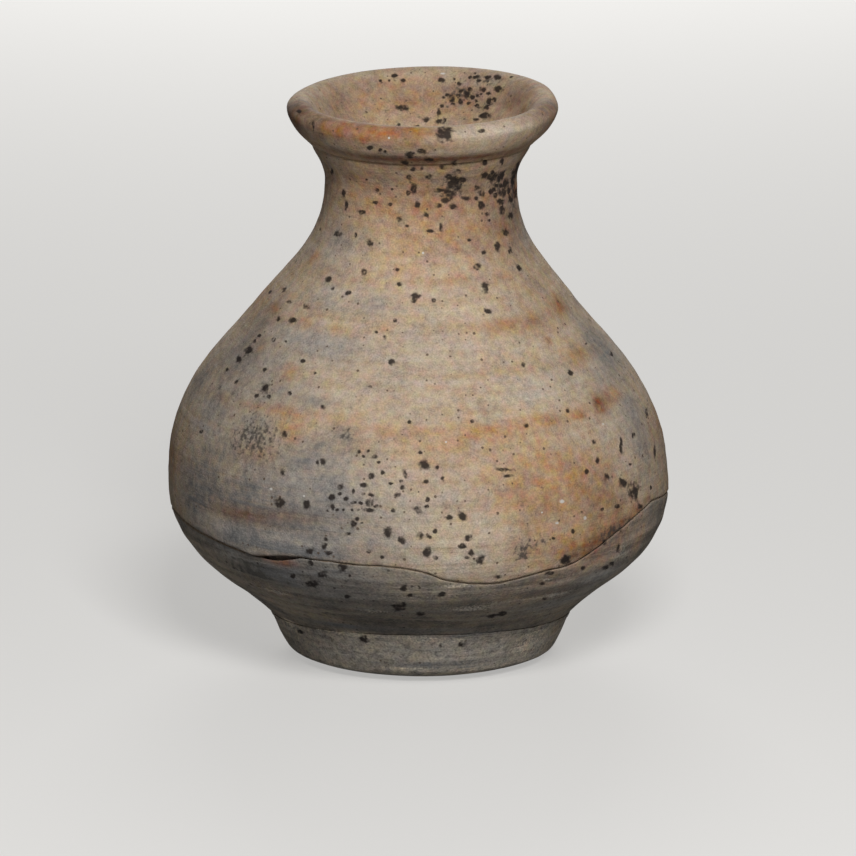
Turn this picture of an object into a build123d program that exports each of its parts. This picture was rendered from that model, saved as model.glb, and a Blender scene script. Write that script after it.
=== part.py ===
"""Small fired-clay oil flask, built the way a potter builds it.

Two thrown halves, an upper shell and a lower bowl, meet in a slanting lap joint just below the belly
and are stuck together with clay slip. A roll of clay is turned round the mouth as a lip, and the bowl
is stuck with slip to a thick disc foot. All sizes are in millimetres and degrees. The flask stands on
the XY plane, its axis is +Z, and its front looks towards -Y.
"""

import os
from math import cos, radians, sin, tan

from build123d import *

# Foot: a thick disc with a well-rounded lower edge
foot_height = 5.2
foot_rest_radius = 11.0
foot_edge_radius = 18.15
foot_edge_height = 2.1
foot_ledge = 0.2

# Outer skin of the body, from the bowl's flat underside up to the crease below the lip
bowl_base_radius = 19.7
haunch_radius = 23.5
haunch_rise = 3.5
haunch_slope = 41.0
belly_radius = 33.0
belly_rise = 14.3
shoulder_radius = 20.8
shoulder_rise = 24.0
shoulder_slope = 53.0
neck_rise = 16.3
neck_length = 5.2
neck_flare = 1.9
neck_lean = 74.0

# Hollow
body_wall = 3.6
neck_wall = 3.0
floor_thickness = 4.6
throat_radius = 9.6
throat_length = 6.0
funnel_flare = 3.1
funnel_depth = 3.6
funnel_slope = 52.0

# Lip: the roll of clay round the mouth
lip_height = 5.6
crest_flare = 1.5
lip_overhang = 1.75
lip_drop = 1.2
lip_undercut = 62.0

# Joints: slip films, and the scarf where the upper shell laps over the bowl
slip_thickness = 0.5
groove_depth = 0.35
seam_drop = 4.3
seam_tilt = 4.0
scarf_slope = 30.0

# Levels, stacked up from the table
bowl_z = foot_height + slip_thickness
haunch_z = bowl_z + haunch_rise
belly_z = haunch_z + belly_rise
shoulder_z = belly_z + shoulder_rise
neck_z = shoulder_z + neck_rise
crease_z = neck_z + neck_length
crest_z = crease_z + lip_height
floor_z = bowl_z + floor_thickness
seam_z = belly_z - seam_drop

# Radii that follow from the bore of the throat
neck_radius = throat_radius + neck_wall
crease_radius = neck_radius + neck_flare
crest_radius = crease_radius + crest_flare
lip_radius = crest_radius + lip_overhang
foot_top_radius = bowl_base_radius + foot_ledge

# Tangents of the section, as directions in its plane
UP = (0, 1)
OUT = (1, 0)


def leaning(angle):
    """Direction that climbs at an angle from the horizontal, outwards if it is under a right angle."""
    return (cos(radians(angle)), sin(radians(angle)))


HAUNCH_RUN = leaning(haunch_slope)
SHOULDER_RUN = leaning(180 - shoulder_slope)
NECK_RUN = leaning(neck_lean)
FUNNEL_RUN = leaning(funnel_slope)
UNDERCUT_RUN = leaning(180 + lip_undercut)


def sunk(point, run, depth):
    """A point of the outer skin moved into the clay, square to the skin's run there."""
    return (point[0] - run[1] * depth, point[1] + run[0] * depth)


def body_points(depth):
    """Haunch, belly and shoulder of the body's skin, at a depth below its surface."""
    return (
        sunk((haunch_radius, haunch_z), HAUNCH_RUN, depth),
        sunk((belly_radius, belly_z), UP, depth),
        sunk((shoulder_radius, shoulder_z), SHOULDER_RUN, depth),
    )


def outer_skin(depth):
    """Edges from the bowl's underside up to the crease below the lip."""
    haunch, belly, shoulder = body_points(depth)
    base = (bowl_base_radius - depth, bowl_z)
    neck = (neck_radius - depth, neck_z)
    crease = (crease_radius, crease_z)
    return [
        Spline(base, haunch, belly, tangents=(HAUNCH_RUN, HAUNCH_RUN, UP)),
        Spline(belly, shoulder, neck, tangents=(UP, SHOULDER_RUN, UP)),
        Spline(neck, crease, tangents=(UP, NECK_RUN)),
    ]


def inner_skin():
    """Edges from the crest of the mouth down the funnel and throat to the middle of the floor."""
    haunch, belly, shoulder = body_points(body_wall)
    crest = (crest_radius, crest_z)
    throat_top = (throat_radius, neck_z + throat_length / 2)
    throat_foot = (throat_radius, neck_z - throat_length / 2)
    funnel = (throat_radius + funnel_flare, crest_z - funnel_depth)
    return [
        Spline(throat_top, funnel, crest, tangents=(UP, FUNNEL_RUN, OUT)),
        Line(throat_top, throat_foot),
        Spline(belly, shoulder, throat_foot, tangents=(UP, SHOULDER_RUN, UP)),
        Spline((0, floor_z), haunch, belly, tangents=(OUT, HAUNCH_RUN, UP)),
    ]


def turned(edges):
    """Solid turned about the flask's axis from the edges of half its section."""
    return revolve(Plane.XZ * make_face(edges), Axis.Z)


def thrown_wall(depth):
    """The whole hollow body, without its lip and foot, with its outer skin at a depth."""
    closing = [
        Line((crease_radius, crease_z), (crest_radius, crest_z)),
        Line((0, floor_z), (0, bowl_z)),
        Line((0, bowl_z), (bowl_base_radius - depth, bowl_z)),
    ]
    return turned(outer_skin(depth) + inner_skin() + closing)


def below_scarf(height):
    """Everything below the tilted scarf cone that meets the belly at a height above the seam."""
    slope = tan(radians(scarf_slope))
    reach = 2 * belly_radius
    apex_z = height + belly_radius * slope
    rim_z = apex_z - reach * slope
    under_z = -2 * crest_z
    section = Polyline((0, under_z), (reach, under_z), (reach, rim_z), (0, apex_z), close=True)
    return Pos(0, 0, seam_z) * Rot(X=seam_tilt) * turned(section.edges())


def make_lip_roll():
    """Roll of clay turned out round the mouth: its lower edge is the crease on the neck."""
    crease = (crease_radius, crease_z)
    crest = (crest_radius, crest_z)
    widest = (lip_radius, crest_z - lip_drop)
    return turned(
        [
            Line(crease, crest),
            Spline(crest, widest, tangents=(OUT, (0, -1))),
            Spline(widest, crease, tangents=((0, -1), UNDERCUT_RUN)),
        ]
    )


def make_foot_disc():
    """Disc foot that widens upwards from its rounded lower edge to the ledge below the bowl."""
    rest = (foot_rest_radius, 0)
    edge = (foot_edge_radius, foot_edge_height)
    ledge = (foot_top_radius, foot_height)
    wall_run = (ledge[0] - edge[0], ledge[1] - edge[1])
    return turned(
        [
            Line((0, 0), rest),
            Spline(rest, edge, tangents=(OUT, wall_run)),
            Line(edge, ledge),
            Line(ledge, (0, foot_height)),
            Line((0, foot_height), (0, 0)),
        ]
    )


def make_foot_slip():
    """Film of slip between the foot and the bowl, set back in the groove round the foot."""
    film = Cylinder(bowl_base_radius - groove_depth, slip_thickness)
    return Pos(0, 0, foot_height + slip_thickness / 2) * film


wall = thrown_wall(0)
below_seam = below_scarf(0)
below_film = below_scarf(slip_thickness / cos(radians(scarf_slope)))
nodes = {
    "foot_disc": make_foot_disc(),
    "foot_slip": make_foot_slip(),
    "lower_bowl": wall & below_seam,
    "seam_slip": (thrown_wall(groove_depth) & below_film) - below_seam,
    "upper_shell": wall - below_film,
    "lip_roll": make_lip_roll(),
}

os.makedirs("parts", exist_ok=True)
for name, solid in nodes.items():
    export_step(solid, f"parts/{name}.step")
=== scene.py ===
import math

import bpy
import numpy as np
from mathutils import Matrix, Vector
from mathutils.bvhtree import BVHTree
from mathutils.kdtree import KDTree


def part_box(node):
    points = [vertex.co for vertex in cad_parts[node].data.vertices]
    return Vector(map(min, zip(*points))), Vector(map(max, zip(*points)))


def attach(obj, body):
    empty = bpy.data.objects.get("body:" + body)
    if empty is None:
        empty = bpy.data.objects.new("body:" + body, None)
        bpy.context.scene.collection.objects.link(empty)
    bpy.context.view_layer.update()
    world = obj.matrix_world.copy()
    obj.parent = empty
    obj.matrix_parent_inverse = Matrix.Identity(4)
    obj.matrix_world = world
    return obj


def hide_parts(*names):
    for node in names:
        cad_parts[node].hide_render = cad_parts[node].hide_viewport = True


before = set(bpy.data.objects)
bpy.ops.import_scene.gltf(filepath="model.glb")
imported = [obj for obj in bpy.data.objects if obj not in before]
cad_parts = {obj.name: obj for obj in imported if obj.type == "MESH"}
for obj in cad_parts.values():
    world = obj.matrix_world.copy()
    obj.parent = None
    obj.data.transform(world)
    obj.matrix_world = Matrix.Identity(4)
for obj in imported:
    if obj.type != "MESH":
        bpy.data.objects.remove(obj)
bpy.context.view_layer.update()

# Viewpoint. The flask is seen a little from above through a long lens, from about a metre away.
# Marks on the clay are placed by their pixels in that picture, so the camera comes first.
PICTURE_SIDE = 856
LOOK_DOWN = math.radians(14.0)
LOOK_FROM = 1.10
PIXELS_PER_METRE = 7600.0
MID_POINT = Vector((0.0, 0.0, 0.037))
MID_PIXEL = (420.0, 377.0)
SENSOR_WIDTH = 36.0


def stand(name, data):
    """New object with its data, standing in the scene."""
    thing = bpy.data.objects.new(name, data)
    bpy.context.scene.collection.objects.link(thing)
    return thing


camera_data = bpy.data.cameras.new("viewpoint")
camera_data.sensor_width = SENSOR_WIDTH
camera_data.lens = SENSOR_WIDTH * LOOK_FROM * PIXELS_PER_METRE / PICTURE_SIDE
camera = stand("viewpoint", camera_data)
bpy.context.scene.camera = camera
gaze = Vector((0.0, math.cos(LOOK_DOWN), -math.sin(LOOK_DOWN)))
picture_up = Vector((0.0, math.sin(LOOK_DOWN), math.cos(LOOK_DOWN)))
camera.location = MID_POINT - LOOK_FROM * gaze
aim_right = (PICTURE_SIDE / 2 - MID_PIXEL[0]) / PIXELS_PER_METRE
aim_down = (PICTURE_SIDE / 2 - MID_PIXEL[1]) / PIXELS_PER_METRE
aim = MID_POINT + Vector((aim_right, 0.0, 0.0)) - aim_down * picture_up
camera_turn = (aim - camera.location).to_track_quat("-Z", "Y")
camera.rotation_euler = camera_turn.to_euler()


def sight(column, row):
    """Direction from the camera through a pixel of the picture."""
    focus = LOOK_FROM * PIXELS_PER_METRE
    across = (column - PICTURE_SIDE / 2) / focus
    along = (PICTURE_SIDE / 2 - row) / focus
    return (camera_turn @ Vector((across, along, -1.0))).normalized()


# Foot. A thick disc of the same buff clay, turned on the wheel while leather-hard. Its lower edge is
# worn round, and it was stuck under the bowl a little askew, so its upper edge climbs at the front.
MM = 0.001
SAME_PLACE = 0.01 * MM
HUB_RADIUS = 1.0 * MM
FLAT_SPACING = 2.0 * MM
FOOT_SPACING = 0.25 * MM
foot_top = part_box("foot_disc")[1]
FOOT_REST_RADIUS = 12.5 * MM
FOOT_UNDER = (17.45 * MM, 1.05 * MM, 24.0)
FOOT_EDGE_RADIUS = 18.05 * MM
FOOT_EDGE_HEIGHT = 1.75 * MM
FOOT_LEDGE = -0.05 * MM
FOOT_LEDGE_RISE = 0.5 * MM
FOOT_LEDGE_RAGGED = 0.05 * MM
FOOT_LEDGE_ROUNDING = 0.06 * MM
FOOT_CLIMB = 1.9 * MM
FOOT_CLIMB_END = 1.2
FOOT_WORN = 0.45 * MM
FOOT_WALL_SLOPE = 61.0
FOOT_WALL_LEAN = 1.0 / math.tan(math.radians(FOOT_WALL_SLOPE))
FOOT_ROUNDS = 420
FOOT_SEED = 13
RING_WANDER = 4.0
RING_WANDER_SPAN = 3.0
CALM_RADIUS = 6.0 * MM
WELD = 0.002 * MM
SHARP_CORNER = math.radians(48)
CLAY_SHEEN = 0.25
RAGGED_WAVES = (7, 13, 22, 37, 61, 95)
RAGGED_SIZES = (0.3, 1.0)
RAGGED_SUM = 2.5


class Wire:
    """A socket of a node tree. Arithmetic on it adds Math nodes, and add() adds any other node."""

    def __init__(self, tree, socket=None):
        self.tree = tree
        self.socket = socket

    def add(self, kind, settings=None, inputs=None, out=0):
        """Add a node with its settings and the values or wires of its sockets; give one of its outputs."""
        node = self.tree.nodes.new(kind)
        for name, value in (settings or {}).items():
            setattr(node, name, value)
        for key, value in (inputs or {}).items():
            socket = node.inputs[key]
            if isinstance(key, str):
                socket = next(s for s in node.inputs if s.name == key and s.enabled)
            if isinstance(value, Wire):
                self.tree.links.new(value.socket, socket)
            else:
                socket.default_value = value
        outputs = [s for s in node.outputs if s.enabled]
        return Wire(self.tree, node.outputs[out] if isinstance(out, str) else outputs[out])

    def math(self, operation, *values):
        """Add a Math node."""
        return self.add("ShaderNodeMath", {"operation": operation}, dict(enumerate(values)))

    def __add__(self, other):
        return self.math("ADD", self, other)

    def __sub__(self, other):
        return self.math("SUBTRACT", self, other)

    def __mul__(self, other):
        return self.math("MULTIPLY", self, other)

    def __truediv__(self, other):
        return self.math("DIVIDE", self, other)

    def __radd__(self, other):
        return self.math("ADD", other, self)

    def __rsub__(self, other):
        return self.math("SUBTRACT", other, self)

    def __rmul__(self, other):
        return self.math("MULTIPLY", other, self)

    def __rtruediv__(self, other):
        return self.math("DIVIDE", other, self)

    def step(self, low, high):
        """Smooth step from 0 at low to 1 at high; low may be the larger."""
        limits = {"Value": self, "From Min": low, "From Max": high}
        return self.add("ShaderNodeMapRange", {"interpolation_type": "SMOOTHSTEP"}, limits)

    def blend(self, first, second):
        """Colour that goes from first to second as this value goes from 0 to 1."""
        ends = {"Factor": self, "A": first, "B": second}
        return self.add("ShaderNodeMix", {"data_type": "RGBA"}, ends)


def potters_wheel():
    """Tree that turns a profile about the upright axis, with the unevenness that a hand leaves in clay."""
    tree = bpy.data.node_groups.new("potters_wheel", "GeometryNodeTree")
    for name, kind in (
        ("Profile", "NodeSocketGeometry"),
        ("Rows", "NodeSocketInt"),
        ("Rounds", "NodeSocketInt"),
        ("Front Crowding", "NodeSocketFloat"),
        ("Swell", "NodeSocketFloat"),
        ("Swell Span", "NodeSocketFloat"),
        ("Ripple", "NodeSocketFloat"),
        ("Ripple Span", "NodeSocketFloat"),
        ("Ring Depth", "NodeSocketFloat"),
        ("Ring Pitch", "NodeSocketFloat"),
        ("Clay", "NodeSocketMaterial"),
    ):
        tree.interface.new_socket(name, in_out="INPUT", socket_type=kind)
    tree.interface.new_socket("Turned", in_out="OUTPUT", socket_type="NodeSocketGeometry")
    entry = tree.nodes.new("NodeGroupInput")
    given = {s.name: Wire(tree, s) for s in entry.outputs if s.name}
    wheel = Wire(tree)

    sheet = wheel.add(
        "GeometryNodeMeshGrid", None, {"Vertices X": given["Rounds"] + 1, "Vertices Y": given["Rows"]}
    )
    index = wheel.add("GeometryNodeInputIndex")
    column = wheel.math("FLOOR", (index + 0.5) / given["Rows"])
    row = index - column * given["Rows"]
    spot = wheel.add(
        "GeometryNodeSampleIndex",
        {"data_type": "FLOAT_VECTOR"},
        {"Geometry": given["Profile"], "Value": wheel.add("GeometryNodeInputPosition"), "Index": row},
    )
    radius = wheel.add("ShaderNodeSeparateXYZ", None, {"Vector": spot}, "X")
    height = wheel.add("ShaderNodeSeparateXYZ", None, {"Vector": spot}, "Z")
    even_turn = column / given["Rounds"] * (2 * math.pi)
    turn = even_turn + given["Front Crowding"] * wheel.math("SINE", even_turn) + math.pi / 2
    east = wheel.math("COSINE", turn)
    north = wheel.math("SINE", turn)

    def placed(away):
        """Place of each point at a distance from the axis."""
        return wheel.add("ShaderNodeCombineXYZ", None, {"X": away * east, "Y": away * north, "Z": height})

    true_place = placed(radius)

    def unevenness(span, detail):
        """Noise about 0 with waves of about a span."""
        scale = {"Vector": true_place, "Scale": 1.0 / span, "Detail": detail}
        return wheel.add("ShaderNodeTexNoise", {"noise_dimensions": "3D"}, scale) - 0.5

    wander = RING_WANDER * unevenness(given["Ring Pitch"] * RING_WANDER_SPAN, 1.0)
    rings = height / given["Ring Pitch"] * (2 * math.pi) + wander
    push = (
        given["Swell"] * unevenness(given["Swell Span"], 1.0)
        + given["Ripple"] * unevenness(given["Ripple Span"], 2.0)
        + given["Ring Depth"] * wheel.math("SINE", rings)
    ) * radius.step(0.0, CALM_RADIUS)
    place = placed(radius + push)
    turned = wheel.add("GeometryNodeSetPosition", None, {"Geometry": sheet, "Position": place})
    closed = wheel.add("GeometryNodeMergeByDistance", None, {"Geometry": turned, "Distance": WELD})
    smooth = wheel.add("GeometryNodeSetShadeSmooth", None, {"Geometry": closed})
    whole = wheel.add("GeometryNodeRealizeInstances", None, {"Geometry": smooth})
    fired = wheel.add("GeometryNodeSetMaterial", None, {"Geometry": whole, "Material": given["Clay"]})
    leave = tree.nodes.new("NodeGroupOutput")
    tree.links.new(fired.socket, leave.inputs["Turned"])
    return tree


wheel_tree = potters_wheel()


def throw(name, profile, clay, rounds, **unevenness):
    """Plain mesh object turned from a closed profile of (radius, height) points."""
    points = bpy.data.meshes.new(name + "_profile")
    points.from_pydata([(r, 0.0, z) for r, z in profile], [], [])
    blank = stand(name + "_profile", points)
    turning = blank.modifiers.new("turning", "NODES")
    turning.node_group = wheel_tree
    settings = {
        "Rows": len(profile),
        "Rounds": rounds,
        "Front Crowding": 0.4,
        "Swell": 0.5 * MM,
        "Swell Span": 16.0 * MM,
        "Ripple": 0.12 * MM,
        "Ripple Span": 3.0 * MM,
        "Ring Depth": 0.012 * MM,
        "Ring Pitch": 2.6 * MM,
        "Clay": clay,
    }
    settings.update(unevenness)
    for socket in wheel_tree.interface.items_tree:
        if socket.name in settings:
            turning[socket.identifier] = settings[socket.name]
    bpy.context.view_layer.update()
    mesh = bpy.data.meshes.new_from_object(blank.evaluated_get(bpy.context.evaluated_depsgraph_get()))
    mesh.name = name
    blank.modifiers.clear()
    bpy.data.objects.remove(blank)
    return stand(name, mesh)


def heading(degrees):
    """Unit step in a plane, at an angle from its first axis."""
    return np.array((math.cos(math.radians(degrees)), math.sin(math.radians(degrees))))


def flow(knots, spacing):
    """Smooth run of points through knots of (radius, height, run in degrees from outwards to up).

    A knot may end with a pull: how far it holds the run in its direction, 1 if it isn't given.
    """
    run = []
    for (r0, z0, a0, *pull0), (r1, z1, a1, *pull1) in zip(knots, knots[1:]):
        chord = math.hypot(r1 - r0, z1 - z0)
        steps = max(2, round(chord / spacing))
        t = np.linspace(0.0, 1.0, steps + 1)[:, None]
        start, end = np.array((r0, z0)), np.array((r1, z1))
        leave = chord * math.prod(pull0) * heading(a0)
        arrive = chord * math.prod(pull1) * heading(a1)
        run.append(
            (2 * t**3 - 3 * t**2 + 1) * start
            + (t**3 - 2 * t**2 + t) * leave
            + (3 * t**2 - 2 * t**3) * end
            + (t**3 - t**2) * arrive
        )
    return np.concatenate(run)


def joined(*runs):
    """One profile from several runs of points, with no point twice in a row."""
    points = np.concatenate([np.atleast_2d(run) for run in runs])
    fresh = np.ones(len(points), bool)
    fresh[1:] = np.linalg.norm(np.diff(points, axis=0), axis=1) > SAME_PLACE
    return points[fresh]


def places(piece):
    """Array of a piece's points."""
    flat = np.empty(3 * len(piece.data.vertices), np.float32)
    piece.data.vertices.foreach_get("co", flat)
    return flat.reshape(-1, 3).astype(float)


def put(piece, points):
    """Move a piece's points, and make its faces look outwards with its turned corners kept sharp."""
    mesh = piece.data
    mesh.vertices.foreach_set("co", points.astype(np.float32).ravel())
    mesh.update()
    mesh.calc_loop_triangles()
    corners = np.empty(3 * len(mesh.loop_triangles), np.int32)
    mesh.loop_triangles.foreach_get("vertices", corners)
    a, b, c = points[corners.reshape(-1, 3)].transpose(1, 0, 2)
    if np.einsum("ij,ij->i", a, np.cross(b, c)).sum() < 0:
        mesh.flip_normals()
    mesh.set_sharp_from_angle(angle=SHARP_CORNER)
    mesh.update()


def facing_front(points):
    """How far round from the front each point lies, in radians: 0 at the front, positive to the right."""
    return np.arctan2(points[:, 0], -points[:, 1])


def frontness(points):
    """1 at the front of the flask, falling smoothly to 0 behind."""
    return 0.5 + 0.5 * np.cos(facing_front(points))


def from_axis(points):
    """Distance of each point from the flask's axis."""
    return np.hypot(points[:, 0], points[:, 1])


def ragged(points, seed, reach):
    """Uneven torn edge round the flask: waves of several lengths that stay within about a reach."""
    chance = np.random.default_rng(seed)
    waves = np.zeros(len(points))
    for count in RAGGED_WAVES:
        size = chance.uniform(*RAGGED_SIZES)
        start = chance.uniform(0, 2 * math.pi)
        waves += size * np.sin(count * facing_front(points) + start)
    return reach * waves / RAGGED_SUM


def foot_joint_lift(points):
    """How much higher than a level joint the foot meets the bowl: most at the front, nothing behind."""
    reach = np.minimum(from_axis(points) / foot_top.x, FOOT_CLIMB_END)
    return FOOT_CLIMB * reach**2 * frontness(points) ** 3


def set_askew(points, share):
    """Points near the foot's joint moved up and out along the foot's wall, as far as the joint climbs."""
    lift = share * foot_joint_lift(points)
    radius = np.maximum(from_axis(points), SAME_PLACE)
    moved = points * (1 + lift * FOOT_WALL_LEAN / radius)[:, None]
    moved[:, 2] = points[:, 2] + lift
    return moved


# Drift of the axis: height and shift to the right in millimetres
AXIS_DRIFT = (
    (0.0, 0.2), (3.0, 0.05), (9.0, 0.0), (15.0, 0.05), (21.0, -0.15), (28.0, -0.35),
    (36.0, -0.55), (47.0, -0.55), (53.0, -0.15), (60.0, 0.05), (68.0, 0.2), (75.0, 0.4),
)
RIM_NOD = math.radians(1.6)
RIM_BACK_ROLL = math.radians(1.2)
RIM_BACK_RISE = 0.27 * MM
RIM_BACK_SPAN = 6.0 * MM
NECK_BEND_HEIGHTS = (58.0 * MM, 71.0 * MM)


def eased(value):
    """Smooth step from 0 to 1 of an array."""
    share = np.clip(value, 0, 1)
    return share * share * (3 - 2 * share)


def handmade(points):
    """Points of the true form moved as the real flask leans: its axis wanders and its rim is uneven."""
    level, drift = np.array(AXIS_DRIFT).T * MM
    bend = eased((points[:, 2] - NECK_BEND_HEIGHTS[0]) / (NECK_BEND_HEIGHTS[1] - NECK_BEND_HEIGHTS[0]))
    back_rise = RIM_BACK_RISE + math.tan(RIM_BACK_ROLL) * points[:, 0]
    rim_rise = math.tan(RIM_NOD) * points[:, 1] + eased(points[:, 1] / RIM_BACK_SPAN) * back_rise
    moved = points.copy()
    moved[:, 0] += np.interp(points[:, 2], level, drift)
    moved[:, 2] += bend * rim_rise
    return moved


def shader_of(tree, kind):
    """The shader of a kind that a new tree comes with."""
    return next(node for node in tree.nodes if node.type == kind)


def clay_tree(name):
    """New material with a Principled shader of dry fired clay, that shader and the object coordinates."""
    material = bpy.data.materials.new(name)
    material.use_nodes = True
    shader = shader_of(material.node_tree, "BSDF_PRINCIPLED")
    shader.inputs["Specular IOR Level"].default_value = CLAY_SHEEN
    here = Wire(material.node_tree).add("ShaderNodeTexCoord", None, None, "Object")
    return material, shader, here


def speckle(here, scale, detail, squash=1.0):
    """Noise about 0 on object coordinates, drawn out round the flask by squashing it in height."""
    stretch = {"Vector": here, "Scale": (1.0, 1.0, squash)}
    place = here.add("ShaderNodeMapping", None, stretch) if squash != 1.0 else here
    return here.add("ShaderNodeTexNoise", None, {"Vector": place, "Scale": scale, "Detail": detail}) - 0.5


def finish_clay(shader, colour, roughness, relief, depth):
    """Lead a colour, a roughness and a bump of a depth in metres into a clay's shader."""
    bump = relief.add("ShaderNodeBump", None, {"Strength": 1.0, "Distance": depth, "Height": relief})
    for name, wire in (("Base Color", colour), ("Roughness", roughness), ("Normal", bump)):
        wire.tree.links.new(wire.socket, shader.inputs[name])


SPECK_COVER = 0.93
SPECK_TEAR = 1.3
PEPPER_SCALE = 1000.0
PEPPER_SIZE = 0.2
FOOT_RELIEF = 0.12 * MM
FOOT_BUFF = (0.34, 0.3, 0.25, 1.0)
FOOT_PALE = (0.5, 0.44, 0.365, 1.0)
FOOT_PEACH = (0.5, 0.38, 0.26, 1.0)
# Pale of worn clay, also used for painted highlights on lit edges
SCUFF_AND_HIGHLIGHT_PALE = (0.62, 0.54, 0.43, 1.0)
# Grey of soot, also used for painted shade
SOOT_AND_SHADE_GREY = (0.18, 0.176, 0.172, 1.0)
SPECK_BLACK = (0.018, 0.012, 0.01, 1.0)
GRAIN_BROWN = (0.105, 0.07, 0.048, 1.0)


def specks(here, name, tear):
    """Mask of small marks with torn edges, from the offsets that face corners keep to their own mark."""
    offset = here.add("ShaderNodeAttribute", {"attribute_name": name}, None, "Vector")
    reach = here.add("ShaderNodeVectorMath", {"operation": "LENGTH"}, {"Vector": offset}, "Value")
    ragged_edge = speckle(here, scale=1100.0, detail=1.0) * 1.5
    frayed_edge = speckle(here, scale=2600.0, detail=1.0) * 0.6
    patchy = (speckle(here, scale=1500.0, detail=1.0) * 1.6 + 0.9).step(0.2, 0.9)
    return (reach + (ragged_edge + frayed_edge) * tear).step(1.5, 0.6) * patchy * SPECK_COVER


def pepper(here):
    """Mask of tiny round grains in the clay, one to a cell, of random sizes up to a share of the cell."""
    cells = {"Vector": here, "Scale": PEPPER_SCALE}
    away = here.add("ShaderNodeTexVoronoi", None, cells, "Distance")
    kind = here.add("ShaderNodeTexVoronoi", None, cells, "Color")
    grain = here.add("ShaderNodeSeparateColor", None, {"Color": kind}, "Red")
    uneven = speckle(here, scale=4.0 * PEPPER_SCALE, detail=1.0) * 0.1
    return (away - PEPPER_SIZE * grain * grain + uneven).step(0.05, -0.04)


def grainy(here, colour, light, dullness):
    """A colour with the light and dark, warm and cold, rich and dull grains of sandy clay in it."""
    tint = 0.5 + speckle(here, scale=900.0, detail=2.0) * 0.11
    richness = 1.0 + dullness + speckle(here, scale=700.0, detail=2.0) * 0.9
    shifts = {"Color": colour, "Hue": tint, "Saturation": richness, "Value": 1.0 + light}
    return here.add("ShaderNodeHueSaturation", None, shifts)


def stain(here, name):
    """A stain's strength, kept on the mesh's points."""
    return here.add("ShaderNodeAttribute", {"attribute_name": name}, None, "Fac")


def scuffs_and_highlights(here, streaks, sand):
    """Mask of pale scratchy wear and of painted highlights on lit edges, drawn out along the turning lines.
    """
    return (stain(here, "scuff_and_highlight") * (1.0 + streaks * 3.0 + sand * 2.0)).step(0.2, 0.8)


def foot_clay():
    """Buff clay with fine turning lines, sooty in places, pale where its edges are worn, with a painted
    highlight on its lit upper ledge, with few specks.
    """
    material, shader, here = clay_tree("foot_clay")
    lines = speckle(here, scale=60.0, detail=3.0, squash=25.0)
    cloud = speckle(here, scale=140.0, detail=3.0)
    grit = speckle(here, scale=1100.0, detail=3.0)
    sand = speckle(here, scale=3600.0, detail=3.0)
    blotch = speckle(here, scale=340.0, detail=3.0)
    tone = (lines * 2.6 + cloud * 1.2 + blotch * 0.8 + grit + 0.5).step(0.1, 0.9)
    colour = tone.blend(FOOT_BUFF, FOOT_PALE)
    colour = (stain(here, "flush") * (1.0 + lines + cloud)).blend(colour, FOOT_PEACH)
    dirt = stain(here, "soot_and_shade") * 1.3 + lines * 2.2 + cloud * 0.6 + blotch * 0.9 + grit * 1.8 - 0.2
    colour = dirt.step(0.0, 1.0).blend(colour, SOOT_AND_SHADE_GREY)
    # Pale wear, with a painted highlight on the foot's lit upper ledge
    colour = scuffs_and_highlights(here, lines, sand).blend(colour, SCUFF_AND_HIGHLIGHT_PALE)
    light = sand * 1.7 + grit * 1.2 + blotch * 0.5
    colour = grainy(here, colour, light, blotch * 0.8 + grit * 0.8)
    colour = (pepper(here) * 0.7).blend(colour, GRAIN_BROWN)
    colour = specks(here, "speck", SPECK_TEAR).blend(colour, SPECK_BLACK)
    relief = lines * 0.8 + sand * 0.5 + grit * 0.4
    finish_clay(shader, colour, roughness=0.86 + sand * 0.1, relief=relief, depth=FOOT_RELIEF)
    return material


ledge_radius = foot_top.x + FOOT_LEDGE
ledge_top = foot_top.z + FOOT_LEDGE_RISE
foot_rest = (FOOT_REST_RADIUS, 0.0, 0.0)
foot_edge = (FOOT_EDGE_RADIUS, FOOT_EDGE_HEIGHT, FOOT_WALL_SLOPE)
foot_shelf = (ledge_radius - 4 * FOOT_LEDGE_ROUNDING, foot_top.z, 180.0)
foot_profile = joined(
    (0.0, 0.0),
    flow(((HUB_RADIUS, 0.0, 0.0), foot_rest), FLAT_SPACING),
    flow((foot_rest, FOOT_UNDER, foot_edge), FOOT_SPACING),
    flow(
        (
            foot_edge,
            (ledge_radius - 0.2 * FOOT_LEDGE_ROUNDING, ledge_top - FOOT_LEDGE_ROUNDING, FOOT_WALL_SLOPE),
            (ledge_radius - FOOT_LEDGE_ROUNDING, ledge_top, 180.0),
            (ledge_radius - 3 * FOOT_LEDGE_ROUNDING, foot_top.z, 225.0),
        ),
        FOOT_SPACING,
    ),
    flow((foot_shelf, (HUB_RADIUS, foot_top.z, 180.0)), FLAT_SPACING),
    (0.0, foot_top.z),
)
foot = throw("foot", foot_profile, foot_clay(), FOOT_ROUNDS)
foot_points = places(foot)
foot_reach = from_axis(foot_points) - FOOT_REST_RADIUS
foot_bend = np.clip(foot_reach / (FOOT_EDGE_RADIUS - FOOT_REST_RADIUS), 0, 1)
foot_front = frontness(foot_points) ** 8
foot_share = np.clip(foot_points[:, 2] / foot_top.z, 0, 1) ** 2
foot_points[:, 2] += foot_share**4 * ragged(foot_points, FOOT_SEED, FOOT_LEDGE_RAGGED)
foot_points = set_askew(foot_points, foot_share)
foot_points[:, 2] += FOOT_WORN * foot_front * foot_bend**2 * (1 - foot_share)
put(foot, handmade(foot_points))
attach(foot, "root")
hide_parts("foot_disc")

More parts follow.
